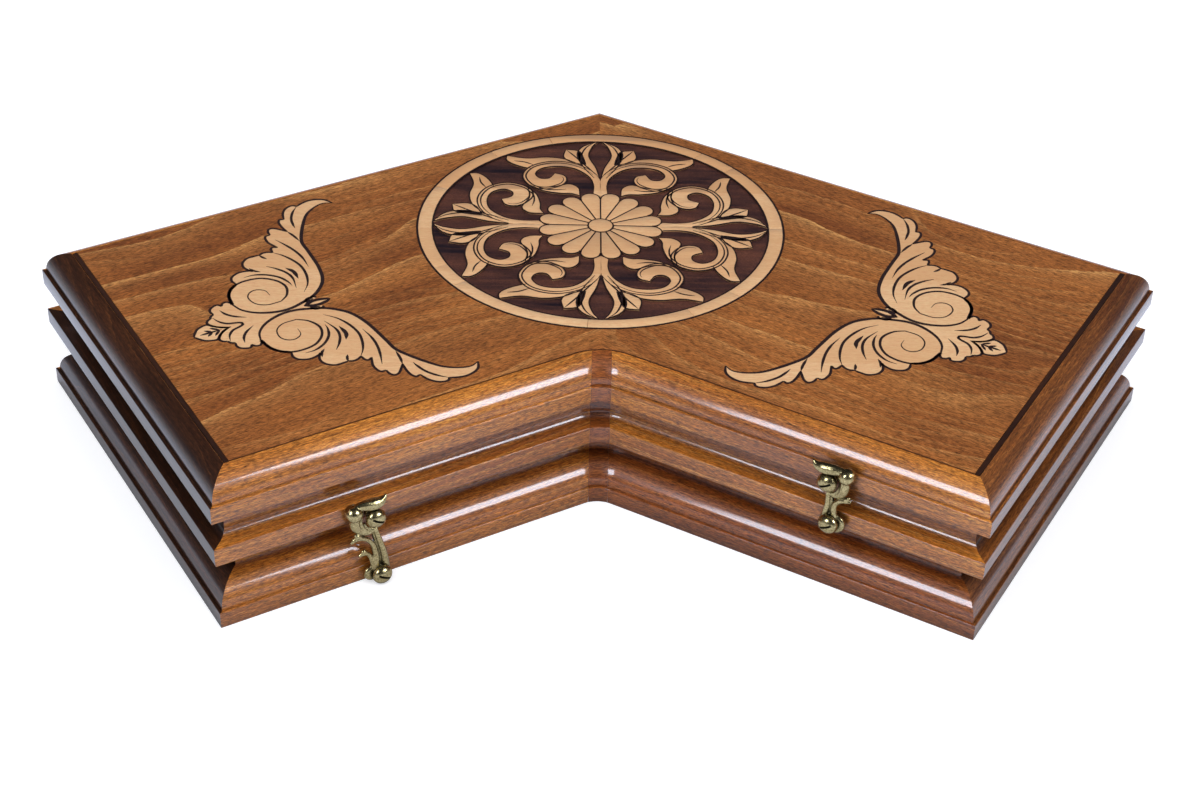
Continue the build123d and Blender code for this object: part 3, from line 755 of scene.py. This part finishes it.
def petalOutline(turn):
    half = pi / petalCount
    gap, reach = medallion["seam"], medallion["reach"]
    roundEnd = reach * sin(half) / (1 + sin(half))
    inner = medallion["button"] + gap
    swing = half - asin(gap / inner)
    foot = arcPoints(inner, swing, -swing, 3)
    tip = arcPoints(roundEnd - gap, -pi / 2 - half, pi / 2 + half, 14)
    tip = [p + Vector((reach - roundEnd, 0)) for p in tip]
    return inMedallion([Matrix.Rotation(turn, 2) @ p for p in foot + tip])


def ringPart(index):  # the ring is laid in parts of uneven length
    outer = medallionRadius - lid["ringGap"]
    inner = medallionRadius - medallion["ringWidth"]
    start = 2 * pi * (index + 0.35 * sin(index * 2.4)) / ringParts
    end = 2 * pi * (index + 1 + 0.35 * sin((index + 1) % ringParts * 2.4)) / ringParts
    end -= medallion["ringJoint"] / outer
    return inMedallion(arcPoints(outer, start, end, 14) + arcPoints(inner, end, start, 14))


outerLine, innerLine = drawn(scrollOuter, 5), drawn(scrollInner, 5)
followLine = offsetLine(outerLine, medallion["follow"])[8:56]
leafEdges = [[drawn(edge) for edge in leaf] for leaf in (hookedLeaf, bluntLeaf, tulipPetal, smallLeaf)]
line, fine = medallion["line"], medallion["fine"]
inked = [(outerLine[6:], line, 0.3, 0.5), (innerLine, fine, 0.3, 0.5), (followLine, line, 0.2, 0.2)]
inked += [(edge, fine, 0.5, 0.5) for leaf in leafEdges for edge in leaf]
inked += [(drawn(points), line, 0.2, 0.2) for points in carvedLines]
scrolls, leaves, lines = [], [], []
for quarter in range(4):
    for side in (1, -1):
        scrolls.append(inEighth(outerLine + innerLine[::-1], quarter, side))
        leaves += [inEighth(one + other[::-1], quarter, side) for one, other in leafEdges]
        lines += [inkLine(inEighth(points, quarter, side), *widths) for points, *widths in inked]

petals = [petalOutline(2 * pi * (k + 0.5) / petalCount) for k in range(petalCount)]
for k in range(petalCount):
    out = Vector((cos(2 * pi * k / petalCount), sin(2 * pi * k / petalCount)))
    spoke = [out * r for r in (medallion["button"], medallion["spokeFrom"], medallion["spokeTo"])]
    lines.append(inkLine(inMedallion(spoke), fine))
lines += [inkLine(petal[4:], fine) for petal in petals]
ringInside, ringOutside = medallionRadius - medallion["ringWidth"], medallionRadius - lid["ringGap"]
for radius, width in ((medallion["button"], fine), (ringInside, line), (ringOutside, line)):
    for start in (0, pi):
        lines.append(inkLine(inMedallion(arcPoints(radius - width / 4, start, start + pi, 48)), width))

reliefTop = lidTop - medallion["below"]
groundTop = lidTop - medallion["sink"]
disc = arcPoints(medallionRadius - medallion["groundGap"], 0, 2 * pi * 95 / 96, 95)
button = arcPoints(medallion["button"] - medallion["seam"] / 2, 0, 2 * pi * 47 / 48, 47)
ground = flatShapes("medallionGround", [inMedallion(disc)], groundTop, lidTop - medallion["depth"])
dress(ground, "top_tray", woods["ground"], "dark_inlay", "medallion_ground")
for name, outlines, top, nodes in (
    ("medallionRing", [ringPart(k) for k in range(ringParts)], reliefTop, ["medallion_ring"]),
    ("rosetteFlower", petals + [inMedallion(button)], reliefTop, ["rosette_flower"]),
    ("rosetteScrolls", scrolls, reliefTop, ["rosette_scrolls"]),
    ("rosetteLeaves", leaves, reliefTop - medallion["below"], []),
):
    piece = flatShapes(name, outlines, top, groundTop - medallion["tuck"], medallion["ease"])
    dress(piece, "top_tray", woods["maple"], "maple_inlay", *nodes)
piece = inkStrips("rosetteLines", lines, reliefTop + medallion["lineRise"], reliefTop - medallion["lineDeep"])
dress(piece, "top_tray", ink, "dark_inlay")
print("medallion done")

# Leaf motif of an arm, in millimetres from the bud's tip toward the middle and sideways
leafMotif = inMetres({
    "setback": 43.7, "stemLine": 2.1, "edgeLine": 1.55, "strokeLine": 1.6, "boldLine": 2.4, "curlLine": 0.85,
    "below": 0.045, "depth": 0.9, "underDrop": 0.012, "lineRise": 0.02, "lineDeep": 0.3,
})
stem = [
    (30.3, 19.5), (32.9, 12.1), (39.3, 5.8), (48.7, 1.8), (57.2, 1.3), (65.6, 3.7), (74, 7.4), (81.4, 14.2),
    (85.6, 21.6), (88.2, 32.1), (89.3, 42.6), (90, 52.1), (90.6, 60.5), (93.5, 67.9), (99.3, 78.4),
    (105.6, 87.4), (112.9, 92.6), (119.3, 94.4), (124.5, 92.3),
]
wingEdges = [
    [(124.5, 92.3), (121.9, 97.4), (118.2, 100), (112.9, 101.1), (107.7, 100), (104, 98.2)],
    [(104, 98.2), (102.9, 100), (100.3, 100.3), (96.6, 98.4), (93.5, 94.2), (91.7, 88.4)],
    [(91.7, 88.4), (89.3, 89.2), (87.5, 86.3), (87.2, 80.5), (87.9, 75.3)],
    [(87.9, 75.3), (84.5, 80), (81.9, 82.4), (79.5, 82.4), (77.9, 80), (77.7, 76.5)],
    [(77.7, 76.5), (74.8, 76.3), (73.5, 73.2), (73.6, 68.4), (76.1, 62.1)],
    [(76.1, 62.1), (73.8, 63.5), (72.1, 62.4), (71.4, 58.4)],
    [(71.4, 58.4), (69.3, 60), (66.1, 60.5), (63.5, 59.3)],
    [(63.5, 59.3), (60.3, 59.7), (55.6, 59.3), (51.7, 55.8), (50.8, 51.1), (52.9, 46.3), (54.5, 45.6)],
    [(54.5, 45.6), (49.8, 47.6), (45.1, 47.7), (40.8, 45.3), (39.3, 41.6), (40.3, 37.4)],
    [(40.3, 37.4), (35.6, 34.2), (31.9, 28.4), (30.3, 19.5)],
]
volute = [
    (30.3, 19.5), (31.9, 28.4), (35.6, 34.2), (40.3, 37.4), (47.2, 38.4), (55.1, 36.6), (61.4, 30.5),
    (63.7, 22.6), (60.8, 14.7), (55.4, 10.2),
]
curl = [
    (52.4, 18.6), (51.7, 24.2), (47.7, 27.1), (43.3, 26.1), (40.6, 21.6), (41.9, 14.7), (47.2, 10.5), (55.4, 10.2),
]
wingStrokes = [
    [(104, 98.2), (99.3, 93.2), (95.6, 86.8), (94, 80.5), (93.5, 76.5)],
    [(78.2, 70.5), (81.4, 61.6), (83.5, 53.2), (84.2, 44.7), (83.3, 35.3)],
    [(87.9, 75.3), (89.3, 69.5), (90, 62.6)],
    [(71.4, 58.4), (75.1, 53.2), (78.2, 45.8), (79.8, 37.4), (78.7, 27.9), (75.6, 19.5), (70.3, 12.6)],
    [(62.4, 46.8), (66.6, 41.6), (69.8, 35.3), (70.6, 28.4), (68.2, 18.4)],
    [(46.6, 41.9), (52.9, 41.6), (59.5, 38.2), (64.5, 32.6), (66.8, 26.3), (67.2, 21.8)],
    [(52.9, 49.5), (54.5, 45.6), (57.2, 42.9)],
    [(63.5, 59.3), (64.3, 56.5), (65.8, 53.7)],
]
boldStrokes = [[(71.2, 40.3), (73.7, 34.7), (73.2, 26.8)]]
sheathEdges = [
    [(11.4, 6.8), (11.1, 9.5), (12.7, 11.6), (14.2, 11.9)],
    [(14.2, 11.9), (15.1, 14), (17.4, 15.6)],
    [(17.4, 15.6), (16.7, 18.4), (17.8, 21.1), (20.5, 22.9), (23.1, 23.1), (24.4, 20.8)],
    [(24.4, 20.8), (25.8, 23.1), (28.5, 23.5), (30.5, 20.7)],
    [(30.5, 20.7), (39.3, 8.9), (66.6, 4.2), (72.1, 4.9)],
    [(72.1, 4.9), (71.7, 1.8), (67.9, 0)],
]
sheathStrokes = [
    [(21.9, 17.6), (23.5, 12.6), (26.8, 8.4), (32.4, 4.5)],
    [(15.6, 12.6), (17.4, 7.4), (20.8, 3.7), (25.6, 2.1), (28.2, 0.5), (25.6, -1.8)],
    [(11.4, 8.4), (13.5, 4.2), (17.7, 1.1), (21.4, 0)],
]
budHalf = [(-0.2, 0), (1.6, 3.2), (4.5, 6.3), (9.8, 7.9), (12.9, 4.7), (16.6, 1.6), (20.3, 0)]
budStrokes = [
    [(3.2, 0), (8, 0), (16, 0)], [(10.4, 0.3), (8.6, 1.6), (6.6, 3)], [(14.6, 0.3), (12.6, 2), (10.4, 4.2)],
]
sprig = [(64.6, 0), (68.5, 1.9), (73, 2.3), (77, 1.5), (80.4, 0)]
sprigLobe = [(66.4, 3.4), (69.2, 5.9), (73, 6.1), (74.2, 4.5), (70.6, 3.4), (67.4, 2)]


def onArm(points, arm, side):  # side 1 toward the rear edge, -1 toward the notch
    start = spot(innerSide - leafMotif["setback"], armWidth / 2)
    return [onSide(start - along * (p[0] * mm) + across * (p[1] * side * mm), arm).xy for p in points]


def joined(edges):
    line = []
    for edge in edges:
        line += smoothLine(edge, 5)[:-1]
    return line + [Vector(edges[-1][-1])]


wing = joined([stem] + wingEdges)[:-1]
sheath = joined(sheathEdges) + [Vector((20.3, 0)), Vector((13, 4.6))]
bud = smoothLine(budHalf)
bud += [Vector((p.x, -p.y)) for p in reversed(bud[1:-1])]
inked = [(stem, "stemLine", 0.5, 0.3), (wingEdges[-1], "stemLine", 0.6, 1.0), (sprig, "boldLine", 0.3, 0.3)]
edges = wingEdges[:-1] + sheathEdges[:4] + [budHalf, sprigLobe[:4]]
inked += [(points, "edgeLine", 0.6, 0.6) for points in edges]
inked += [(volute, "edgeLine", 0.6, 0.5), (curl, "curlLine", 0.3, 1.0)]
inked += [(points, "strokeLine", 0.15, 0.1) for points in wingStrokes + sheathStrokes + budStrokes]
inked += [(points, "boldLine", 0.1, 0.1) for points in boldStrokes]
motifTop = lidTop - leafMotif["below"]
motifFoot = motifTop - leafMotif["depth"]
for arm in ("right", "left"):
    wings, under, strokes = [], [onArm(bud, arm, 1)], []
    for side in (1, -1):
        wings.append(onArm(wing, arm, side))
        under += [onArm(points, arm, side) for points in (sheath, smoothLine(sprig), smoothLine(sprigLobe))]
        for points, width, start, end in inked:
            strokes.append(inkLine(onArm(smoothLine(points), arm, side), leafMotif[width], start, end))
    piece = flatShapes("leafWings_" + arm, wings, motifTop, motifFoot)
    dress(piece, "top_tray", woods["maple"], "maple_inlay", "arm_inlay_" + arm)
    piece = flatShapes("leafSheath_" + arm, under, motifTop - leafMotif["underDrop"], motifFoot)
    dress(piece, "top_tray", woods["maple"], "maple_inlay")
    rise, deep = leafMotif["lineRise"], leafMotif["lineDeep"]
    piece = inkStrips("leafLines_" + arm, strokes, motifTop + rise, motifTop - deep)
    dress(piece, "top_tray", ink, "dark_inlay")
print("leaf motifs done")

# Hook latches, in millimetres: X outward along the arm, Y up, Z out of the band.
# Each path is a row of (x, y, z, radius), from the pivot or, for the head, from the keeper.
leftArm = [
    [(0, 2, 3.2, 1.7), (0, 10, 3.2, 1.6), (1.2, 20, 3.2, 1.4), (2.8, 28, 3.2, 1.4)],
    [(-3.2, 1, 4.2, 2.4), (-3, 6, 4.2, 2.3), (-2.2, 13, 4.2, 2), (-0.5, 20.5, 4.2, 1.7),
     (1.2, 27, 4.2, 1.5), (2.2, 31, 4.2, 1.6)],
    [(2.4, 2, 4.2, 2.3), (2.5, 7.4, 4.4, 2.1), (2.3, 13, 4.4, 1.8), (3.8, 20, 4.4, 1.5),
     (6.6, 24.4, 4.5, 1.4), (10.6, 27.2, 4.8, 1.5), (14, 27.6, 5, 1.5), (16.2, 25.6, 4.6, 0.9)],
    [(10.6, 27.2, 4.8, 1.3), (12.6, 29.4, 5.2, 1.7), (13.6, 30.4, 5.2, 1.2)],
    [(3.6, 5, 4, 1.8), (4.9, 10.5, 4.2, 1.4), (6.7, 14.6, 4.4, 1.2), (9.4, 16.2, 4.6, 1.3),
     (12, 15.2, 4.4, 0.8)],
    [(7.8, 15.8, 4.4, 1), (9.2, 17.6, 4.8, 1.4), (10.2, 18.2, 4.8, 1)],
]
leftHead = [
    [(0.2, -8.6, 4, 1.7), (4.4, -9.6, 4.2, 1.8), (8.8, -6.6, 4.4, 2.2), (11.4, -2.4, 4.6, 3),
     (11.6, 2.6, 4.8, 3.1), (11.4, 7, 5.2, 3.8)],
    [(2.4, -9.4, 4.4, 0.9), (6.4, -6.2, 5, 0.9), (7.9, -1.6, 5.2, 0.8), (7.6, 1.4, 5, 0.6)],
    [(1.2, -8.2, 4.2, 0.8), (4.6, -5.8, 4.6, 0.8), (6, -2.6, 4.6, 0.7)],
    [(10.6, 9, 5.2, 2.6), (8, 9.8, 5.4, 2.5), (5, 9.8, 5.8, 3.1), (1, 9.4, 6.2, 3.5),
     (-3.2, 10.2, 6.4, 2.8), (-6.4, 13.2, 6.4, 0.8)],
]
rightArm = [
    [(0, 2, 3.2, 1.7), (-0.2, 9, 3.2, 1.5), (-1, 18, 3.2, 1.3)],
    [(-3, 1, 4.2, 2.4), (-2.8, 6, 4.2, 2), (-2.3, 11, 4.2, 1.6), (-2.4, 16, 4.2, 1.5),
     (-2.6, 19.6, 4.2, 1.6)],
    [(2.2, 2, 4.2, 2.3), (1.6, 7, 4.3, 1.9), (1.8, 12, 4.3, 1.7), (4.4, 15.6, 4.6, 1.6),
     (8, 17, 4.8, 1.3), (10.4, 17, 4.6, 0.7)],
    [(6, 16.6, 4.6, 1.2), (8.6, 18.6, 4.8, 1.1), (9.6, 19.6, 4.6, 0.7)],
]
rightHead = [
    [(0.4, -7.4, 4, 1.5), (4.4, -8.4, 4.2, 1.7), (7.8, -5.6, 4.4, 2.5), (9.2, -1.4, 4.6, 3),
     (9.4, 3.4, 4.8, 3), (9.2, 7.6, 5.2, 3.5)],
    [(2, -8, 4.4, 0.9), (5, -5.4, 5, 0.9), (6.4, -1.4, 5.2, 0.8), (6.2, 1.2, 5, 0.6)],
    [(9, 8, 5.2, 2.8), (6.2, 9, 5.6, 2.6), (2.4, 9, 6.2, 3.2), (-2.6, 8.8, 6.8, 3.3),
     (-6.4, 9.4, 7, 2.4), (-8.8, 11.6, 7, 0.7)],
]
latch = {
    "left": {
        "trays": ("bottom", "middle"), "discs": [(0, 0, 5.6), (4.8, 0.8, 4.6)], "arm": leftArm, "head": leftHead,
        "ball": (11.8, 6.4, 5, 5),
    },
    "right": {
        "trays": ("middle", "top"), "discs": [(0, 0, 6.3), (2.6, -0.2, 5.8)], "arm": rightArm, "head": rightHead,
        "ball": (9.8, 6.8, 5, 4.7),
    },
}
cast = {
    "voxel": 0.26, "smooth": 3, "back": 2.35, "backIn": 0.4, "backUp": 0.6, "discTop": 5.2, "discRound": 0.9,
    "flat": 0.9, "tip": 0.8, "headRadius": 5.6, "seat": 6.1, "bury": 0.1, "side": 0.7, "dome": 3.7, "edge": 0.3,
    "slot": 1.3, "slotDeep": 1.9, "slotLong": 7.0, "slotTurn": 0.5, "shaft": 1.9, "shaftLong": 14, "shaftTip": 1,
    "foot": 3.9, "footTall": 2.2,
}


def castTube(bm, path, sides=12):
    path = smoothLine(path, 5)
    rings = []
    for before, here, after in zip(path[:1] + path[:-1], path, path[1:] + path[-1:]):
        tangent = (after.xyz - before.xyz).normalized()
        sideways = Vector((-tangent.y, tangent.x, 0)).normalized()
        rise = tangent.cross(sideways) * cast["flat"]
        ring = [sideways * p.x + rise * p.y for p in arcPoints(here.w, 0, 2 * pi, sides)[:-1]]
        rings.append([bm.verts.new(here.xyz + p) for p in ring])
    joinRings(bm, rings)
    for ring, end, towards in ((rings[0], path[0], path[1]), (rings[-1], path[-1], path[-2])):
        tip = bm.verts.new(end.xyz + (end.xyz - towards.xyz).normalized() * end.w * cast["tip"])
        for k in range(sides):
            bm.faces.new((ring[k], ring[(k + 1) % sides], tip))


def lathe(bm, x, y, profile, sides=40):  # profile is (radius, z) from the axis to the axis
    rings = []
    for radius, z in profile:
        if radius == 0:
            rings.append([bm.verts.new((x, y, z))] * sides)
        else:
            ring = arcPoints(radius, 0, 2 * pi, sides)[:-1]
            rings.append([bm.verts.new((x + p.x, y + p.y, z)) for p in ring])
    joinRings(bm, rings)


def domeProfile(steps=8):
    radius, seat, side, dome, edge = [cast[name] for name in ("headRadius", "seat", "side", "dome", "edge")]
    rim = [(p.x * radius, seat + side + p.y * dome) for p in arcPoints(1, 0, pi / 2, steps)]
    return [(0, seat), (radius - edge, seat), (radius, seat + edge)] + rim[:-1] + [(0, seat + side + dome)]


def applyModifiers(piece):
    bpy.context.view_layer.update()
    depsgraph = bpy.context.evaluated_depsgraph_get()
    mesh = bpy.data.meshes.new_from_object(piece.evaluated_get(depsgraph))
    piece.modifiers.clear()
    piece.data = mesh


def axisPlace(node, side):  # run along the arm and height of a latch screw, from the frame
    low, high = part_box(node)
    centre = onSide((low + high) / 2, side)
    return (centre - notch).dot(along), centre.z


def hang(piece, run, height, side):  # from the latch's own millimetres to its place on the arm
    lie = Matrix((along, up, -across)).transposed().to_4x4()
    lie = Matrix.Translation(spot(run, 0, height)) @ lie @ Matrix.Scale(mm, 4)
    if side == "left":
        lie = Matrix.Scale(-1, 4, (1, 0, 0)) @ lie
    piece.data.transform(lie)
    if side == "left":
        piece.data.flip_normals()
    piece.data.update()


def latchScrew(name, footed):
    head = bmesh.new()
    lathe(head, 0, 0, domeProfile())
    piece = newObject(name, head, 40)
    crown = cast["seat"] + cast["side"] + cast["dome"]
    place = Matrix.Translation((0, 0, crown)) @ Matrix.Rotation(cast["slotTurn"], 4, "Z")
    size = Matrix.Diagonal((cast["slotLong"], cast["slot"], 2 * cast["slotDeep"], 1))
    slot = bmesh.new()
    bmesh.ops.create_cube(slot, size=1, matrix=place @ size)
    cutter = newObject(name + "Cutter", slot)
    cut = piece.modifiers.new("slot", "BOOLEAN")
    cut.object = cutter
    cut.operation = "DIFFERENCE"
    applyModifiers(piece)
    bpy.data.objects.remove(cutter)
    whole = bmesh.new()
    whole.from_mesh(piece.data)
    shaft, end, top = cast["shaft"], -cast["shaftLong"], cast["seat"] + cast["bury"]
    lathe(whole, 0, 0, [(0, end), (shaft, end + cast["shaftTip"]), (shaft, top), (0, top)], 20)
    if footed:
        foot, tall, edge = cast["foot"], cast["footTall"], cast["edge"]
        lathe(whole, 0, 0, [(0, 0), (foot, 0), (foot, tall - edge), (foot - edge, tall), (0, tall)])
    bpy.data.objects.remove(piece)
    return newObject(name, whole, 40)


def latchHook(name, look, shift, reach):
    bm = bmesh.new()
    back, top, soft = cast["back"], cast["discTop"], cast["discRound"]
    for x, y, radius in look["discs"]:
        lathe(bm, x, y, [
            (0, back), (radius - cast["backIn"], back), (radius, back + cast["backUp"]), (radius, top - soft),
            (radius - soft, top), (0, top),
        ])
    for path in look["arm"]:
        castTube(bm, path)
    for path in look["head"]:
        castTube(bm, [(x + shift, y + reach, z, radius) for x, y, z, radius in path])
    x, y, z, radius = look["ball"]
    profile = [(radius * sin(pi * k / 16), z - radius * cos(pi * k / 16)) for k in range(1, 16)]
    lathe(bm, x + shift, y + reach, [(0, z - radius)] + profile + [(0, z + radius)])
    hook = newObject(name, bm)
    melt = hook.modifiers.new("melt", "REMESH")
    melt.mode = "VOXEL"
    melt.voxel_size = cast["voxel"]
    soften = hook.modifiers.new("soften", "SMOOTH")
    soften.iterations = cast["smooth"]
    applyModifiers(hook)
    for face in hook.data.polygons:
        face.use_smooth = True
    return hook


for side, look in latch.items():
    lower, upper = [tray + "_tray" for tray in look["trays"]]
    run, height = axisPlace(side + "_hook_screw", side)
    keeperRun, keeperHeight = axisPlace(side + "_keeper", side)
    piece = latchHook(side + "Hook", look, (keeperRun - run) / mm, (keeperHeight - height) / mm)
    hang(piece, run, height, side)
    dress(piece, side + "_hook", castBrass, "antique_brass", side + "_hook")
    piece = latchScrew(side + "HookScrew", False)
    hang(piece, run, height, side)
    dress(piece, lower, castBrass, "antique_brass", side + "_hook_screw")
    piece = latchScrew(side + "Keeper", True)
    hang(piece, keeperRun, keeperHeight, side)
    dress(piece, upper, castBrass, "antique_brass", side + "_keeper")
print("latches done")


# CAD nodes that stay get their finish here
def finishNode(node, material):
    mesh = frame["nodes"][node].data
    mesh.materials.clear()
    mesh.materials.append(material)


for tray in ("top", "middle", "bottom"):
    finishNode(tray + "_points_light", woods["maplePoints"])
    finishNode(tray + "_points_dark", woods["darkPoints"])
for tray in ("middle", "bottom"):
    for side in ("right", "left"):
        finishNode(f"{tray}_panel_{side}", woods["inside", side])
for node in frame["nodes"]:
    if "hinge" in node:
        finishNode(node, screwBrass if "screws" in node else hingeBrass)
    elif "hook" in node or "keeper" in node:
        finishNode(node, castBrass)

# Floor: white to the camera, brighter far off, and in reflections only near the board and clear
# of its shadow, so that the shadow stays
floorLook = {
    "half": 12, "color": (0.62, 0.63, 0.66, 1), "mirrorTint": (0.62, 0.72, 1.0, 1), "white": (1, 1, 1, 1),
    "glow": 0.6, "moreGlow": 0.4, "glowFrom": 0.7, "glowTo": 2.0, "mirrorGlow": 0.6, "mirrorFrom": 0.75,
    "mirrorTo": 0.4, "contact": 0.1,
}
floorMesh = bmesh.new()
bmesh.ops.create_grid(floorMesh, x_segments=2, y_segments=2, size=floorLook["half"])
floor = newObject("floor", floorMesh)
floorPaint, tree, shader = newMaterial("floorPaint", {
    "Roughness": 0.9, "Specular IOR Level": 0.2, "Base Color": floorLook["color"],
})
rays = addNode(tree, "LightPath")
openSky = addNode(tree, "AmbientOcclusion", {"Distance": floorLook["contact"]}, samples=8)["AO"]
away = addNode(tree, "VectorMath", {0: addNode(tree, "TexCoord")["Object"]}, operation="LENGTH")["Value"]
mirrored = times(tree, rays["Is Glossy Ray"], spread(tree, openSky, 0.5, 1.0))
mirrored = times(tree, mirrored, spread(tree, away, floorLook["mirrorFrom"], floorLook["mirrorTo"]))
glow = times(tree, spread(tree, away, floorLook["glowFrom"], floorLook["glowTo"]), floorLook["moreGlow"])
glow = times(tree, rays["Is Camera Ray"], plus(tree, glow, floorLook["glow"]))
feed(tree, shader, {
    "Emission Strength": plus(tree, glow, times(tree, mirrored, floorLook["mirrorGlow"])),
    "Emission Color": mixColor(tree, rays["Is Camera Ray"], floorLook["mirrorTint"], floorLook["white"]),
})
floor.data.materials.append(floorPaint)

# Room: white to the camera, a dim fill for the object, and bands of grey from below to above
# that only reflections show
room = {
    "sky": 0.32, "fill": (0.95, 0.97, 1.0, 1), "white": (1, 1, 1, 1),
    "mirror": ((0.0, (0.17, 0.19, 0.27, 1)), (0.07, (0.08, 0.09, 0.12, 1)), (0.2, (0.045, 0.045, 0.05, 1)),
               (0.5, (0.05, 0.05, 0.06, 1)), (0.58, (0.03, 0.03, 0.035, 1))),
}
world = bpy.data.worlds.new("room")
scene.world = world
world.use_nodes = True
tree = world.node_tree
rays = addNode(tree, "LightPath")
ramp = tree.nodes.new("ShaderNodeValToRGB")
for index, (place, color) in enumerate(room["mirror"]):
    stop = ramp.color_ramp.elements[index] if index < 2 else ramp.color_ramp.elements.new(place)
    stop.position, stop.color = place, color
height = addNode(tree, "SeparateXYZ", {0: addNode(tree, "TexCoord")["Generated"]})["Z"]
shade = mixColor(tree, rays["Is Glossy Ray"], room["fill"], feed(tree, ramp, {0: height})[0])
seen = calc(tree, "MAXIMUM", rays["Is Camera Ray"], rays["Is Transmission Ray"])
plain = calc(tree, "MAXIMUM", seen, rays["Is Glossy Ray"])
feed(tree, tree.nodes["Background"], {
    "Color": mixColor(tree, seen, shade, room["white"]),
    "Strength": plus(tree, times(tree, plain, 1 - room["sky"]), room["sky"]),
})

# Lamps: two soft sides, top and rear give the light. Two boxes give only the long highlights,
# and only on the mouldings and the brass.
shiny = bpy.data.collections.new("mouldingsAndBrass")
shinyWords = ("Rail", "NotchBlock", "Hook", "Keeper", "hinge")
for piece in scene.objects:
    if piece.type == "MESH" and any(word in piece.name for word in shinyWords):
        shiny.objects.link(piece)
lampAim = Vector((0, -0.08, 0.06))
softLamps = {  # azimuth, elevation, distance, width, depth, watts
    "keyLeft": (-42, 58, 2.0, 1.3, 1.0, 15), "keyRight": (42, 58, 2.0, 1.3, 1.0, 15),
    "overhead": (0, 88, 2.0, 2.4, 1.4, 6), "rear": (180, 50, 2.2, 2.0, 1.0, 3.5),
}
boxLamps = {"boxRight": (58, 31, 2.2, 0.9, 0.85, 38), "boxLeft": (-40, 31, 2.2, 0.62, 0.85, 26)}
for name, (azimuth, elevation, distance, width, depth, watts) in {**softLamps, **boxLamps}.items():
    box = name in boxLamps
    lamp = bpy.data.lights.new(name, "AREA")
    lamp.color = (0.8, 0.87, 1.0) if box else (0.96, 0.97, 1.0)
    lamp.shape = "RECTANGLE"
    lamp.size, lamp.size_y, lamp.energy = width, depth, watts
    turn, rise = radians(azimuth), radians(elevation)
    back = Vector((sin(turn) * cos(rise), -cos(turn) * cos(rise), sin(rise)))
    holder = bpy.data.objects.new(name, lamp)
    holder.location = lampAim + back * distance
    holder.rotation_euler = (-back).to_track_quat("-Z", "Y").to_euler()
    holder.visible_diffuse = not box
    holder.visible_glossy = box
    if box:
        holder.light_linking.receiver_collection = shiny
    scene.collection.objects.link(holder)

view = {
    "place": (-0.02428, -1.08740, 0.79788), "right": (0.99964682, -0.00480746, 0.02613667),
    "down": (0.01828332, -0.58933708, -0.80768034), "ahead": (0.0192862, 0.80787295, -0.58904104),
    "lens": 68.4, "sensor": 36, "near": 0.05,
}
lensData = bpy.data.cameras.new("camera")
lensData.lens = view["lens"]
lensData.sensor_width = view["sensor"]
lensData.sensor_fit = "HORIZONTAL"
lensData.clip_start = view["near"]
camera = bpy.data.objects.new("camera", lensData)
axes = Matrix((Vector(view["right"]), -Vector(view["down"]), -Vector(view["ahead"]))).transposed()
camera.matrix_world = Matrix.Translation(view["place"]) @ axes.to_4x4()
scene.collection.objects.link(camera)
scene.camera = camera
scene.view_settings.view_transform = "Standard"

print("scene ready")
